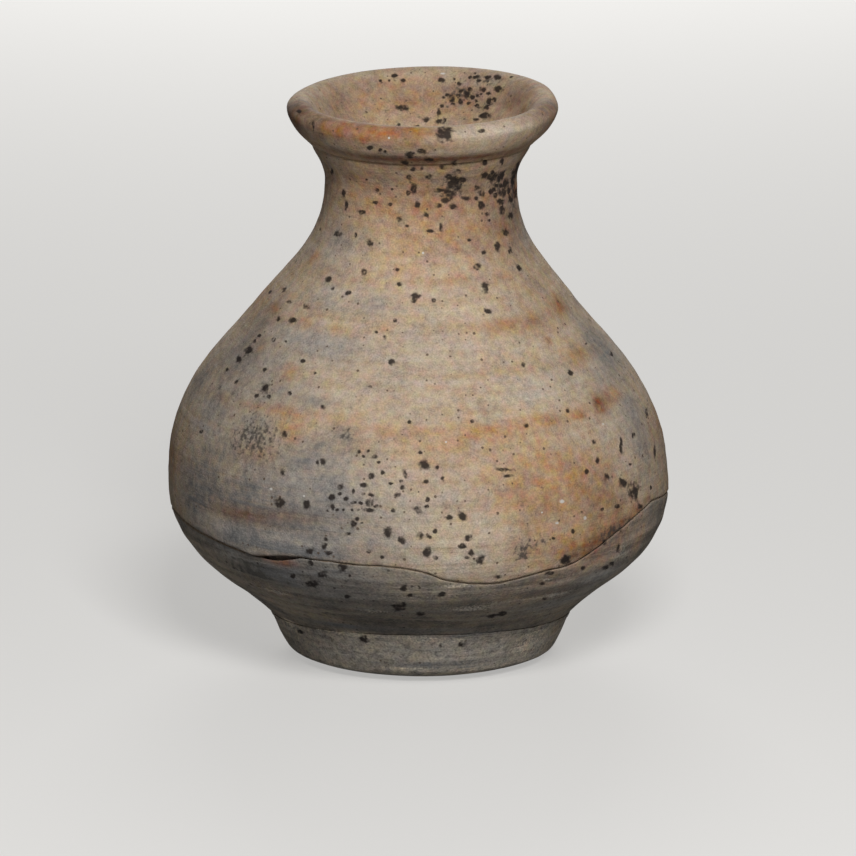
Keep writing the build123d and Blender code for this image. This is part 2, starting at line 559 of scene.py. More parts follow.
# Foot slip. A thin film of wet clay that the potter brushed between the foot and the bowl. It dried a
# little short of the edge, so a fine groove runs round the flask above the foot.
slip_low, slip_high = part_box("foot_slip")
FOOT_SLIP_SWELL = 0.05 * MM
SLIP_SPACING = 0.2 * MM
SLIP_RELIEF = 0.2 * MM
SLIP_BROWN = (0.2, 0.145, 0.1, 1.0)
SLIP_TAN = (0.34, 0.27, 0.2, 1.0)


def joint_slip():
    """Fired slip: brown, rough and crumbly."""
    material, shader, here = clay_tree("joint_slip")
    crumbs = speckle(here, scale=1500.0, detail=4.0)
    colour = (crumbs * 1.8 + 0.5).step(0.0, 1.0).blend(SLIP_BROWN, SLIP_TAN)
    finish_clay(shader, colour, roughness=0.92 + crumbs * 0.06, relief=crumbs, depth=SLIP_RELIEF)
    return material


slip_clay = joint_slip()
slip_reach = slip_high.x + FOOT_SLIP_SWELL
foot_slip_profile = joined(
    (0.0, slip_low.z),
    flow(((HUB_RADIUS, slip_low.z, 0.0), (slip_reach, slip_low.z, 0.0)), FLAT_SPACING),
    flow(((slip_reach, slip_low.z, 0.0), (slip_reach, slip_high.z, 180.0)), SLIP_SPACING),
    flow(((slip_reach, slip_high.z, 180.0), (HUB_RADIUS, slip_high.z, 180.0)), FLAT_SPACING),
    (0.0, slip_high.z),
)
foot_luting = throw("foot_luting", foot_slip_profile, slip_clay, FOOT_ROUNDS)
put(foot_luting, handmade(set_askew(places(foot_luting), 1.0)))
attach(foot_luting, "root")
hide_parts("foot_slip")

# Bowl. The lower thrown piece: a wide open bowl, greyer than the rest, with dark turning marks above
# the foot. Its upper edge is cut to a slant, so that the shell above can lap over it.
BOWL_ROUNDS = 480
SKIN_KNOTS = (
    (19.7 * MM, 5.7 * MM, 41.0),
    (23.5 * MM, 9.2 * MM, 41.0),
    (33.0 * MM, 23.5 * MM, 90.0, 1.35),
    (20.8 * MM, 47.5 * MM, 127.0),
    (12.6 * MM, 63.8 * MM, 90.0, 1.35),
    (14.5 * MM, 69.0 * MM, 74.0),
)
BOWL_FLOOR = (HUB_RADIUS, 10.3 * MM, 0.0)
BOWL_INNER_HAUNCH = (21.14 * MM, 11.92 * MM, 41.0)
BOWL_INNER_EDGE = (29.25 * MM, 21.13 * MM)
BOWL_INNER_SLOPE = 86.0
BOWL_EDGE_LEVEL = 19.3 * MM
BOWL_GROOVE = 0.2 * MM
BOWL_GROOVE_INSETS = (0.5 * MM, 0.22 * MM, 0.1 * MM)
BOWL_BASE_ROUNDING = 0.06 * MM
BOWL_BASE_INSET = 1.5 * MM
BOWL_SCARF_INSET = 0.8 * MM
BOWL_INSIDE_SPACING = 1.6 * MM
BOWL_GROOVE_SPACING = 0.08 * MM
BOWL_SKIN_SPACING = 0.28 * MM
BOWL_RING_DEPTH = 0.03 * MM
BOWL_EDGE_FADE_BELOW = 1.6 * MM
BOWL_EDGE_FADE_ABOVE = 0.6 * MM
BOWL_BASE_FADE = 7.0 * MM
BOWL_RELIEF = 0.14 * MM
BOWL_SEED = 11
SCARF_SPACING = 0.5 * MM
SCARF_FALL = -30.0
SKIN_SPACING = 0.3 * MM
FALL_SPAN = 0.1 * MM
SEAM_LEVEL = 19.42 * MM
SEAM_RAGGED = 0.07 * MM
body_skin = flow(SKIN_KNOTS, SKIN_SPACING)
base_radius, base_level = SKIN_KNOTS[0][:2]


def skin_radius(height):
    """Radius of the body's outer skin at a height."""
    return np.interp(height, body_skin[:, 1], body_skin[:, 0])


def slide(points, skin, lift):
    """Slide points up or down along a skin given as a run of (radius, height), by a lift for each point."""
    order = np.argsort(skin[:, 1])
    heights, radii = skin[order, 1], skin[order, 0]
    radius = from_axis(points)
    raised = points[:, 2] + lift
    grown = radius + np.interp(raised, heights, radii) - np.interp(points[:, 2], heights, radii)
    share = np.where(radius > WELD, grown / np.maximum(radius, WELD), 1.0)
    return np.stack((points[:, 0] * share, points[:, 1] * share, raised), axis=1)


def skin_between(low, high, spacing):
    """Points of the body's outer skin between two heights, from the first to the second."""
    levels = np.linspace(low, high, max(2, round(abs(high - low) / spacing)))
    return np.stack((skin_radius(levels), levels), axis=1)


# Seam and slit as they show: column and row in pixels, from left to right
SEAM_PIXELS = (
    (180, 514), (185, 520), (215, 538), (243, 550), (258, 556), (297, 557), (326, 561), (351, 565),
    (376, 566), (400, 568), (423, 572), (445, 580), (470, 584), (498, 584), (521, 578), (546, 571),
    (571, 564), (595, 550), (618, 532), (637, 516), (653, 501), (661, 498),
)
SLIT_PIXELS = ((262, 556), (299, 557))
# Seam behind: degrees round from the front, height in millimetres
SEAM_BEHIND = ((105, 20.3), (130, 20.6), (155, 21.6), (180, 21.3), (205, 21.9), (230, 20.4), (255, 19.4))
SEAM_EASE = 3
SLIT_BLUNTNESS = 0.8


def shape_of(*meshes):
    """One tree to cast rays on from several meshes that stand at the origin."""
    corners = []
    faces = []
    for mesh in meshes:
        faces += [[len(corners) + v for v in face.vertices] for face in mesh.polygons]
        corners += [v.co for v in mesh.vertices]
    return BVHTree.FromPolygons(corners, faces)


def seen_at(tree, column, row):
    """Point of a surface that shows at a pixel of the picture, or None."""
    return tree.ray_cast(camera.location, sight(column, row))[0]


def turned_to(point):
    """How far round from the front a point lies, in degrees from 0 to 360."""
    return math.degrees(math.atan2(point.x, -point.y)) % 360


plain_body = shape_of(*(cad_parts[node].data for node in ("lower_bowl", "seam_slip", "upper_shell")))
slit_start, slit_end = (turned_to(seen_at(plain_body, *pixel)) - 360 for pixel in SLIT_PIXELS)


def seam_path():
    """Height of the seam for each degree round from the front: read at the front, guessed behind."""
    knots = [(degree, height * MM) for degree, height in SEAM_BEHIND]
    for pixel in SEAM_PIXELS:
        point = seen_at(plain_body, *pixel)
        knots.append((turned_to(point), point.z))
    degrees, heights = np.array(sorted(knots)).T
    path = np.interp(np.arange(360), degrees, heights, period=360)
    for _ in range(SEAM_EASE):
        path = (np.roll(path, 1) + 2 * path + np.roll(path, -1)) / 4
    return path


seam_heights = seam_path()


def seam_lift(points):
    """How far the seam lies above its mean level, round the flask."""
    degrees = np.degrees(facing_front(points)) % 360
    return np.interp(degrees, np.arange(360), seam_heights, period=360) - SEAM_LEVEL


def slit(points):
    """How far the slit gapes, from 0 at its ends to 1 in its middle."""
    across = (np.degrees(facing_front(points)) - slit_start) / (slit_end - slit_start)
    return np.clip(1 - (2 * across - 1) ** 2, 0, 1) ** SLIT_BLUNTNESS


BOWL_SLIT_DROP = 0.4 * MM
BOWL_GREY = (0.215, 0.184, 0.15, 1.0)
BOWL_OLIVE = (0.335, 0.282, 0.22, 1.0)
BOWL_DARK = (0.095, 0.09, 0.08, 1.0)
BOWL_RUST = (0.19, 0.112, 0.08, 1.0)
BOWL_TAN = (0.39, 0.265, 0.185, 1.0)
BOWL_LILAC = (0.35, 0.33, 0.305, 1.0)


def bowl_clay():
    """Grey-brown clay with dark scratchy turning lines above the foot, pale scuffs, a painted highlight along
    its lit upper edge and black specks.
    """
    material, shader, here = clay_tree("bowl_clay")
    streaks = speckle(here, scale=55.0, detail=4.0, squash=22.0)
    cloud = speckle(here, scale=75.0, detail=3.0)
    blotch = speckle(here, scale=260.0, detail=3.0)
    grit = speckle(here, scale=1100.0, detail=3.0)
    sand = speckle(here, scale=3600.0, detail=3.0)
    tone = (streaks * 1.2 + cloud * 1.6 + blotch * 1.3 + sand * 0.6 + 0.5).step(0.05, 0.95)
    uneven = 1.0 + cloud + streaks * 1.5 + blotch * 1.8
    dark = (stain(here, "smudge_and_shade") * 1.5 + streaks * 2.6 + blotch * 2.4 + grit * 2.4 - 0.8).step(0.0, 1.0)
    colour = tone.blend(BOWL_GREY, BOWL_OLIVE)
    for name, tint in (("flush", BOWL_TAN), ("lilac", BOWL_LILAC), ("soot_and_shade", SOOT_AND_SHADE_GREY)):
        colour = (stain(here, name) * uneven).blend(colour, tint)
    colour = dark.blend(colour, BOWL_DARK)
    colour = (stain(here, "umber_and_shade") * uneven).blend(colour, BOWL_RUST)
    # Pale scuffs, with a painted highlight along the bowl's lit edge under the seam
    colour = scuffs_and_highlights(here, streaks, sand).blend(colour, SCUFF_AND_HIGHLIGHT_PALE)
    light = sand + grit * 0.9 + blotch * 0.7 + streaks * 0.8
    colour = grainy(here, colour, light, blotch * 0.8 + grit * 0.8)
    colour = (pepper(here) * 0.7).blend(colour, SPECK_BLACK)
    colour = specks(here, "speck", SPECK_TEAR).blend(colour, SPECK_BLACK)
    relief = streaks * 0.9 + sand * 0.6
    finish_clay(shader, colour, roughness=0.88 + sand * 0.1, relief=relief, depth=BOWL_RELIEF)
    return material


def fall(height):
    """Run of the skin at a height, going down, in degrees from outwards."""
    low, high = height - FALL_SPAN, height + FALL_SPAN
    return math.degrees(math.atan2(low - high, skin_radius(low) - skin_radius(high)))


def scarf_level(radius):
    """Height of the bowl's slanting face at a radius."""
    return BOWL_INNER_EDGE[1] + (radius - BOWL_INNER_EDGE[0]) * math.tan(math.radians(SCARF_FALL))


bowl_edge_radius = skin_radius(BOWL_EDGE_LEVEL)
bowl_scarf_end = bowl_edge_radius - BOWL_SCARF_INSET
groove_level = BOWL_EDGE_LEVEL - BOWL_GROOVE
groove_back, groove_front, bowl_brink = (bowl_edge_radius - inset for inset in BOWL_GROOVE_INSETS)
bowl_top = (bowl_scarf_end, scarf_level(bowl_scarf_end), SCARF_FALL)
bowl_profile = joined(
    (0.0, BOWL_FLOOR[1]),
    flow((BOWL_FLOOR, BOWL_INNER_HAUNCH, (*BOWL_INNER_EDGE, BOWL_INNER_SLOPE)), BOWL_INSIDE_SPACING),
    flow(((*BOWL_INNER_EDGE, SCARF_FALL), bowl_top), SCARF_SPACING),
    flow(
        (
            bowl_top,
            (groove_back, groove_level, 0.0),
            (groove_front, groove_level, 0.0),
            (bowl_brink, BOWL_EDGE_LEVEL, 0.0),
            (skin_radius(groove_level), groove_level, fall(groove_level)),
        ),
        BOWL_GROOVE_SPACING,
    ),
    skin_between(groove_level, base_level + BOWL_BASE_ROUNDING, BOWL_SKIN_SPACING),
    (base_radius - BOWL_BASE_ROUNDING, base_level),
    flow(((base_radius - BOWL_BASE_INSET, base_level, 180.0), (HUB_RADIUS, base_level, 180.0)), FLAT_SPACING),
    (0.0, base_level),
)
bowl = throw("bowl", bowl_profile, bowl_clay(), BOWL_ROUNDS, **{"Ring Depth": BOWL_RING_DEPTH})
bowl_points = places(bowl)
bowl_climb = eased((bowl_points[:, 2] - base_level) / (SEAM_LEVEL - base_level))
bowl_below_edge = np.maximum(BOWL_EDGE_LEVEL - bowl_points[:, 2], 0)
bowl_above_edge = np.maximum(bowl_points[:, 2] - BOWL_EDGE_LEVEL, 0)
bowl_edge_share = np.exp(
    -bowl_below_edge / BOWL_EDGE_FADE_BELOW - bowl_above_edge / BOWL_EDGE_FADE_ABOVE
)
bowl_tear = ragged(bowl_points, BOWL_SEED, SEAM_RAGGED) - BOWL_SLIT_DROP * slit(bowl_points)
bowl_lift = bowl_climb * seam_lift(bowl_points) + bowl_edge_share * bowl_tear
base_share = 1 - eased((bowl_points[:, 2] - base_level) / BOWL_BASE_FADE)
put(bowl, handmade(set_askew(slide(bowl_points, body_skin, bowl_lift), base_share)))
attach(bowl, "root")
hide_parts("lower_bowl")

# Seam slip. The slip that was brushed on the bowl's slanting edge before the shell was set on it. It
# shrank as it dried, so it lies back in the seam and shows only as a dark line, deepest at the slit.
SEAM_SLIP_INSET = 0.02 * MM
SEAM_SLIP_LEAN = 0.2 * MM
SEAM_SLIP_THICKNESS = 0.5 * MM
SEAM_SLIP_SPACING = 0.15 * MM
SHELL_INNER_EDGE = (29.3 * MM, 21.83 * MM)
# Depth of the slip: column and row in pixels, depth in millimetres
SEAM_SLIP_DEPTHS = (
    (181, 515, 0.05), (243, 550, 0.05), (262, 556, 0.3), (271, 556, 1.9), (290, 557, 1.9), (299, 557, 0.3),
    (326, 561, 0.12), (351, 565, 0.22), (571, 564, 0.25), (600, 546, 0.3), (637, 516, 0.22), (661, 498, 0.15),
)


def slip_depth(points):
    """How far the slip lies back in the seam round the flask: read at the front, even behind."""
    knots = []
    for column, row, depth in SEAM_SLIP_DEPTHS:
        knots.append((turned_to(seen_at(plain_body, column, row)), depth * MM))
    degrees, depths = np.array(sorted(knots)).T
    return np.interp(np.degrees(facing_front(points)) % 360, degrees, depths, period=360)


seam_slip_reach = bowl_edge_radius - SEAM_SLIP_INSET
slip_floor = (seam_slip_reach, groove_level)
slip_roof = (seam_slip_reach - SEAM_SLIP_LEAN, scarf_level(seam_slip_reach) + SEAM_SLIP_THICKNESS)
seam_profile = joined(
    flow(((*BOWL_INNER_EDGE, SCARF_FALL), (*slip_floor, SCARF_FALL)), SCARF_SPACING),
    flow(((*slip_floor, SCARF_FALL), (*slip_roof, 180 + SCARF_FALL)), SEAM_SLIP_SPACING),
    flow(((*slip_roof, 180 + SCARF_FALL), (*SHELL_INNER_EDGE, 180 + SCARF_FALL)), SCARF_SPACING),
    BOWL_INNER_EDGE,
)
seam_luting = throw("seam_luting", seam_profile, slip_clay, BOWL_ROUNDS)
seam_points = places(seam_luting)
seam_radius = from_axis(seam_points)
seam_outer_share = eased((seam_radius - BOWL_INNER_EDGE[0]) / (seam_slip_reach - BOWL_INNER_EDGE[0]))
sunken = 1 - slip_depth(seam_points) * seam_outer_share / seam_radius
seam_points[:, :2] *= sunken[:, None]
put(seam_luting, handmade(slide(seam_points, body_skin, seam_lift(seam_points))))
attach(seam_luting, "root")
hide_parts("seam_slip")

# Shell. The upper thrown piece: belly, shoulders, neck and the funnel of the mouth in one wall of pale
# buff clay. Its lower edge was smeared down over the bowl and cracked away from it in the kiln.
SHELL_ROUNDS = 480
SHELL_SCARF_END = (31.6 * MM, 20.45 * MM)
SHELL_EDGE_LEVEL = 19.5 * MM
SHELL_LAP_LEVEL = 19.85 * MM
SHELL_LAP = 0.08 * MM
SHELL_LAP_FADE = 1.5 * MM
SHELL_EDGE_INSET = 0.15 * MM
SHELL_EDGE_SPACING = 0.13 * MM
SHELL_EDGE_FADE = 0.8 * MM
SHELL_SKIN_SPACING = 0.4 * MM
SHELL_INNER_SLOPE = 266.0
SHELL_INSIDE_SPACING = 2.5 * MM
SHELL_SEED = 12
SHELL_FOLD = 0.4 * MM
SHELL_FOLD_TURN = math.radians(-44)
SHELL_FOLD_SPAN = math.radians(19)
SHELL_FOLD_HEIGHT = 2.2 * MM
SHELL_SLIT_RISE = 0.1 * MM
SHELL_SEAM_REACH = 13.0 * MM
CREASE = (14.5 * MM, 69.0 * MM)
CREST = (16.0 * MM, 74.6 * MM)
LIP_SEAT = 75.0
LIP_SEAT_SPACING = 0.8 * MM
THROAT_SPACING = 1.5 * MM
BODY_RELIEF = 0.14 * MM
GLINT_TEAR = 0.4
FUNNEL = (12.7 * MM, 71.0 * MM, 232.0)
THROAT_TOP = (9.6 * MM, 66.8 * MM, 270.0)
THROAT_FOOT = (9.6 * MM, 60.8 * MM, 270.0)
INNER_SHOULDER = (17.92 * MM, 45.33 * MM, 307.0)
INNER_BELLY = (29.4 * MM, 23.5 * MM, 270.0)
BODY_BUFF = (0.478, 0.352, 0.234, 1.0)
BODY_PALE = (0.495, 0.388, 0.284, 1.0)
BODY_ASH = (0.41, 0.338, 0.257, 1.0)
BODY_LILAC = (0.415, 0.362, 0.312, 1.0)
BODY_ORANGE = (0.425, 0.242, 0.122, 1.0)
# Dark brown of umber stains, also used for painted shade
BODY_UMBER_AND_SHADE = (0.2, 0.104, 0.056, 1.0)
BODY_RUST = (0.36, 0.14, 0.06, 1.0)
# Brown-black of smudges, also used for painted shade
SMUDGE_AND_SHADE_BROWN = (0.065, 0.055, 0.048, 1.0)
GLINT_WHITE = (0.62, 0.59, 0.54, 1.0)


def body_clay():
    """Sandy buff clay with orange, lilac, umber and rusty patches, soot, smudges, specks and glints; umber,
    soot and smudges also carry painted shade, and the pale scuffs painted highlights.
    """
    material, shader, here = clay_tree("body_clay")
    streaks = speckle(here, scale=50.0, detail=4.0, squash=26.0)
    cloud = speckle(here, scale=90.0, detail=4.0)
    blotch = speckle(here, scale=320.0, detail=3.0)
    grit = speckle(here, scale=1100.0, detail=3.0)
    sand = speckle(here, scale=4600.0, detail=2.0)
    uneven = 1.0 + streaks * 1.4 + cloud * 0.4 - blotch * 0.7 - grit * 0.7
    colour = (streaks * 1.5 + cloud + 0.5).step(0.1, 0.9).blend(BODY_BUFF, BODY_PALE)
    colour = (cloud * 1.2 + blotch * 1.2 + grit * 0.8 + 0.2).step(0.0, 1.0).blend(colour, BODY_ASH)
    # Stains from the marks below: umber, soot and smudges include painted shade, and the pale scuffs include
    # painted highlights
    for name, tint in (
        ("scuff_and_highlight", SCUFF_AND_HIGHLIGHT_PALE),
        ("lilac", BODY_LILAC),
        ("soot_and_shade", SOOT_AND_SHADE_GREY),
        ("flush", BODY_ORANGE),
        ("umber_and_shade", BODY_UMBER_AND_SHADE),
        ("rust", BODY_RUST),
    ):
        colour = (stain(here, name) * uneven).blend(colour, tint)
    light = sand + grit * 0.8 + blotch * 0.6 + streaks * 0.4
    colour = grainy(here, colour, light, blotch * 0.5 + grit * 0.4)
    colour = (pepper(here) * 0.85).blend(colour, GRAIN_BROWN)
    # Granular smudges, with painted shade in the crease under the lip
    smudge_and_shade = stain(here, "smudge_and_shade") * 1.3 + speckle(here, scale=1900.0, detail=1.0) * 2.8 - 0.6
    colour = (smudge_and_shade.step(0.0, 0.9) * 0.85).blend(colour, SMUDGE_AND_SHADE_BROWN)
    colour = specks(here, "speck", SPECK_TEAR).blend(colour, SPECK_BLACK)
    colour = specks(here, "glint", GLINT_TEAR).blend(colour, GLINT_WHITE)
    relief = streaks * 0.8 + sand * 0.55 + grit * 0.3
    finish_clay(shader, colour, roughness=0.88 + sand * 0.1, relief=relief, depth=BODY_RELIEF)
    return material


def lapping_skin():
    """Outer skin of the shell, up from its lower edge, thickened a little where it laps over the bowl."""
    skin = skin_between(SHELL_LAP_LEVEL, CREASE[1], SHELL_SKIN_SPACING)
    skin[:, 0] += SHELL_LAP * np.exp((SHELL_LAP_LEVEL - skin[:, 1]) / SHELL_LAP_FADE)
    return skin


shell_skin = lapping_skin()
shell_profile = joined(
    flow(((*SHELL_INNER_EDGE, SCARF_FALL), (*SHELL_SCARF_END, SCARF_FALL)), SCARF_SPACING),
    flow(
        (
            (*SHELL_SCARF_END, SCARF_FALL),
            (bowl_edge_radius - SHELL_EDGE_INSET, SHELL_EDGE_LEVEL, 0.0),
            (*shell_skin[0], 180 + fall(SHELL_LAP_LEVEL)),
        ),
        SHELL_EDGE_SPACING,
    ),
    shell_skin,
    flow(((*CREASE, LIP_SEAT), (*CREST, LIP_SEAT)), LIP_SEAT_SPACING),
    flow(((*CREST, 180.0), FUNNEL, THROAT_TOP), SHELL_SKIN_SPACING),
    flow((THROAT_TOP, THROAT_FOOT), THROAT_SPACING),
    flow(
        (THROAT_FOOT, INNER_SHOULDER, INNER_BELLY, (*SHELL_INNER_EDGE, SHELL_INNER_SLOPE)),
        SHELL_INSIDE_SPACING,
    ),
)
clay_of_body = body_clay()
shell = throw("shell", shell_profile, clay_of_body, SHELL_ROUNDS)
shell_points = places(shell)
shell_turn = facing_front(shell_points)
above_edge = np.maximum(shell_points[:, 2] - SHELL_EDGE_LEVEL, 0)
shell_climb = 1 - eased(above_edge / SHELL_SEAM_REACH)
shell_edge_share = np.exp(-above_edge / SHELL_EDGE_FADE)
shell_tear = ragged(shell_points, SHELL_SEED, SEAM_RAGGED) + SHELL_SLIT_RISE * slit(shell_points)
shell_lift = shell_climb * seam_lift(shell_points) + shell_edge_share * shell_tear
shell_points = slide(shell_points, body_skin, shell_lift)
fold_across = (shell_turn - SHELL_FOLD_TURN) / SHELL_FOLD_SPAN
fold = SHELL_FOLD * np.exp(-(fold_across**2) - (above_edge / SHELL_FOLD_HEIGHT) ** 2)
shell_points[:, :2] *= (1 + fold / from_axis(shell_points))[:, None]
put(shell, handmade(shell_points))
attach(shell, "root")
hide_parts("upper_shell")

# Lip. A roll of the same clay, turned out and down round the mouth while the flask was still wet. Its
# lower edge was pressed on the neck and left a fine crease there, darkened with painted shade below.
LIP_ROUNDS = 480
LIP_WIDEST = (17.68 * MM, 73.3 * MM, 270.0)
LIP_UNDER = (16.85 * MM, 71.3 * MM, 236.0)
LIP_LOWER_EDGE = (15.0 * MM, 69.35 * MM, 226.0)
LIP_TUCK = (14.6 * MM, 69.35 * MM)
LIP_TUCK_RUN = 105.0
LIP_SPACING = 0.22 * MM
lip_profile = joined(
    flow(((*CREST, 0.0), LIP_WIDEST, LIP_UNDER, LIP_LOWER_EDGE, (*LIP_TUCK, LIP_TUCK_RUN)), LIP_SPACING),
    flow(((*LIP_TUCK, LIP_SEAT), (*CREST, LIP_SEAT)), LIP_SEAT_SPACING),
)
lip = throw("lip", lip_profile, clay_of_body, LIP_ROUNDS)
put(lip, handmade(places(lip)))
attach(lip, "root")
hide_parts("lip_roll")

# Marks of the kiln and the soil, among them painted shade and painted highlights. Smoke, iron and years
# in the ground left these on the whole flask, so they are placed on its pieces together: most by where
# they show from the front, the rest by chance.
PIXEL = 1.0 / PIXELS_PER_METRE
# Stains: column, row, half width and half height in pixels, strength
FLUSH_SPOTS = (
    (365, 131, 42, 10, 1.0), (325, 128, 24, 11, 0.7), (410, 132, 26, 9, 0.85), (425, 98, 120, 26, 0.5),
    (415, 200, 125, 34, 0.72), (455, 238, 70, 20, 0.58), (440, 272, 80, 16, 0.32), (314, 258, 10, 8, 0.8),
    (352, 281, 30, 7, 0.25), (274, 308, 11, 5, 0.75), (304, 321, 15, 6, 0.85), (344, 330, 17, 5, 0.5),
    (382, 328, 14, 5, 0.45), (470, 279, 45, 4, 0.4), (503, 279, 9, 4, 0.9), (455, 328, 30, 7, 0.35),
    (499, 326, 22, 9, 0.65), (536, 321, 24, 8, 1.0), (559, 305, 15, 11, 0.9), (485, 371, 28, 7, 0.35),
    (526, 369, 25, 8, 0.3), (579, 356, 20, 11, 0.85), (549, 340, 5, 4, 0.9), (289, 373, 14, 8, 0.65),
    (261, 348, 7, 5, 0.5), (203, 373, 10, 12, 0.1), (225, 399, 14, 6, 0.3), (252, 406, 20, 5, 0.45),
    (286, 412, 26, 7, 0.7), (294, 429, 18, 14, 0.85), (258, 454, 26, 9, 0.5), (345, 420, 30, 8, 0.3),
    (400, 432, 40, 10, 0.55), (380, 555, 30, 8, 0.2), (450, 446, 70, 14, 0.45), (493, 431, 52, 10, 0.9),
    (545, 421, 24, 8, 1.0), (578, 414, 18, 7, 1.0), (612, 395, 20, 8, 0.95), (545, 465, 40, 18, 0.7),
    (556, 490, 58, 44, 0.64), (600, 480, 30, 24, 0.4), (508, 485, 22, 24, 0.5), (572, 546, 32, 16, 0.95),
    (617, 519, 30, 18, 0.85), (607, 552, 18, 9, 0.9), (281, 562, 19, 4.5, 0.8), (275, 592, 26, 8, 0.5),
    (605, 556, 30, 16, 0.75), (640, 530, 20, 30, 0.6), (560, 592, 40, 12, 0.35), (520, 592, 40, 12, 0.2),
    (556, 628, 9, 12, 0.7), (405, 146, 64, 8, 0.5), (545, 540, 36, 34, 0.4), (578, 496, 22, 18, 0.35),
    (560, 576, 30, 12, 0.4), (450, 464, 26, 15, 0.3), (612, 545, 20, 8, 0.4),
)
# Umber stains; also painted shade in the crease under the lip, and partly painted shade on the left of the
# rim, down the right of the neck and in the band above the fold over the left seam
UMBER_AND_SHADE_SPOTS = (
    (345, 131, 60, 13, 0.5), (425, 131, 40, 10, 0.5), (300, 108, 28, 26, 1.0), (545, 106, 20, 18, 0.6),
    (425, 98, 120, 26, 0.4), (425, 160, 105, 7, 1.0), (430, 167, 60, 6, 0.7), (415, 190, 120, 32, 0.34),
    (281, 562, 21, 5, 1.0), (480, 235, 40, 24, 0.3), (587, 555, 10, 5, 0.6), (505, 225, 22, 30, 0.65),
    (515, 100, 26, 18, 0.25), (536, 318, 40, 12, 0.25), (599, 404, 14, 11, 1.0), (602, 505, 34, 30, 0.5),
    (595, 545, 34, 10, 0.7), (320, 118, 30, 12, 0.6), (540, 114, 30, 16, 0.45), (338, 112, 16, 13, 0.35),
    (514, 188, 12, 36, 0.85), (345, 92, 40, 14, 0.28), (522, 98, 24, 16, 0.3), (240, 514, 45, 8, 0.75),
    (290, 516, 40, 6, 0.45), (525, 285, 30, 24, 0.28), (250, 350, 26, 22, 0.25), (580, 470, 22, 15, 0.15),
    (540, 505, 24, 20, 0.25), (559, 305, 16, 11, 0.65), (549, 340, 6, 4, 0.3), (579, 356, 18, 10, 0.25),
    (499, 326, 20, 8, 0.25), (605, 490, 26, 30, 0.2), (600, 541, 16, 6, 1.0), (612, 532, 15, 6, 1.0),
    (625, 521, 14, 5, 1.0), (274, 308, 14, 8, 0.3), (638, 510, 12, 5, 0.9), (584, 551, 14, 4.5, 0.9),
    (570, 557, 12, 4, 0.7), (648, 499, 12, 4, 0.7),
)
RUST_SPOTS = (
    (360, 133, 36, 9, 0.58), (335, 126, 20, 9, 0.25), (392, 133, 24, 8, 0.3), (600, 404, 9, 8, 0.3),
    (606, 545, 12, 6, 0.4),
)
LILAC_SPOTS = (
    (327, 346, 40, 16, 0.95), (374, 306, 16, 12, 0.8), (335, 292, 30, 14, 0.8), (300, 335, 30, 14, 0.7),
    (441, 352, 34, 14, 0.3), (400, 358, 50, 16, 0.25), (526, 395, 42, 14, 0.3), (225, 530, 26, 9, 0.9),
    (285, 539, 40, 8, 0.9), (360, 540, 50, 16, 0.6), (345, 495, 50, 30, 0.6), (405, 510, 40, 40, 0.25),
    (640, 440, 22, 40, 0.35), (600, 375, 30, 16, 0.5), (630, 410, 20, 16, 0.5), (420, 385, 60, 14, 0.25),
    (340, 310, 26, 9, 0.6), (330, 245, 24, 16, 0.5), (228, 549, 28, 14, 0.8), (250, 534, 70, 9, 0.8),
    (320, 546, 60, 9, 0.7), (250, 360, 50, 50, 0.5), (630, 440, 34, 60, 0.2), (545, 380, 40, 20, 0.4),
    (200, 530, 14, 10, 0.6), (205, 430, 30, 30, 0.6), (182, 475, 14, 40, 0.6), (600, 577, 44, 16, 0.8),
    (560, 602, 44, 16, 0.7), (310, 478, 50, 30, 0.4),
)
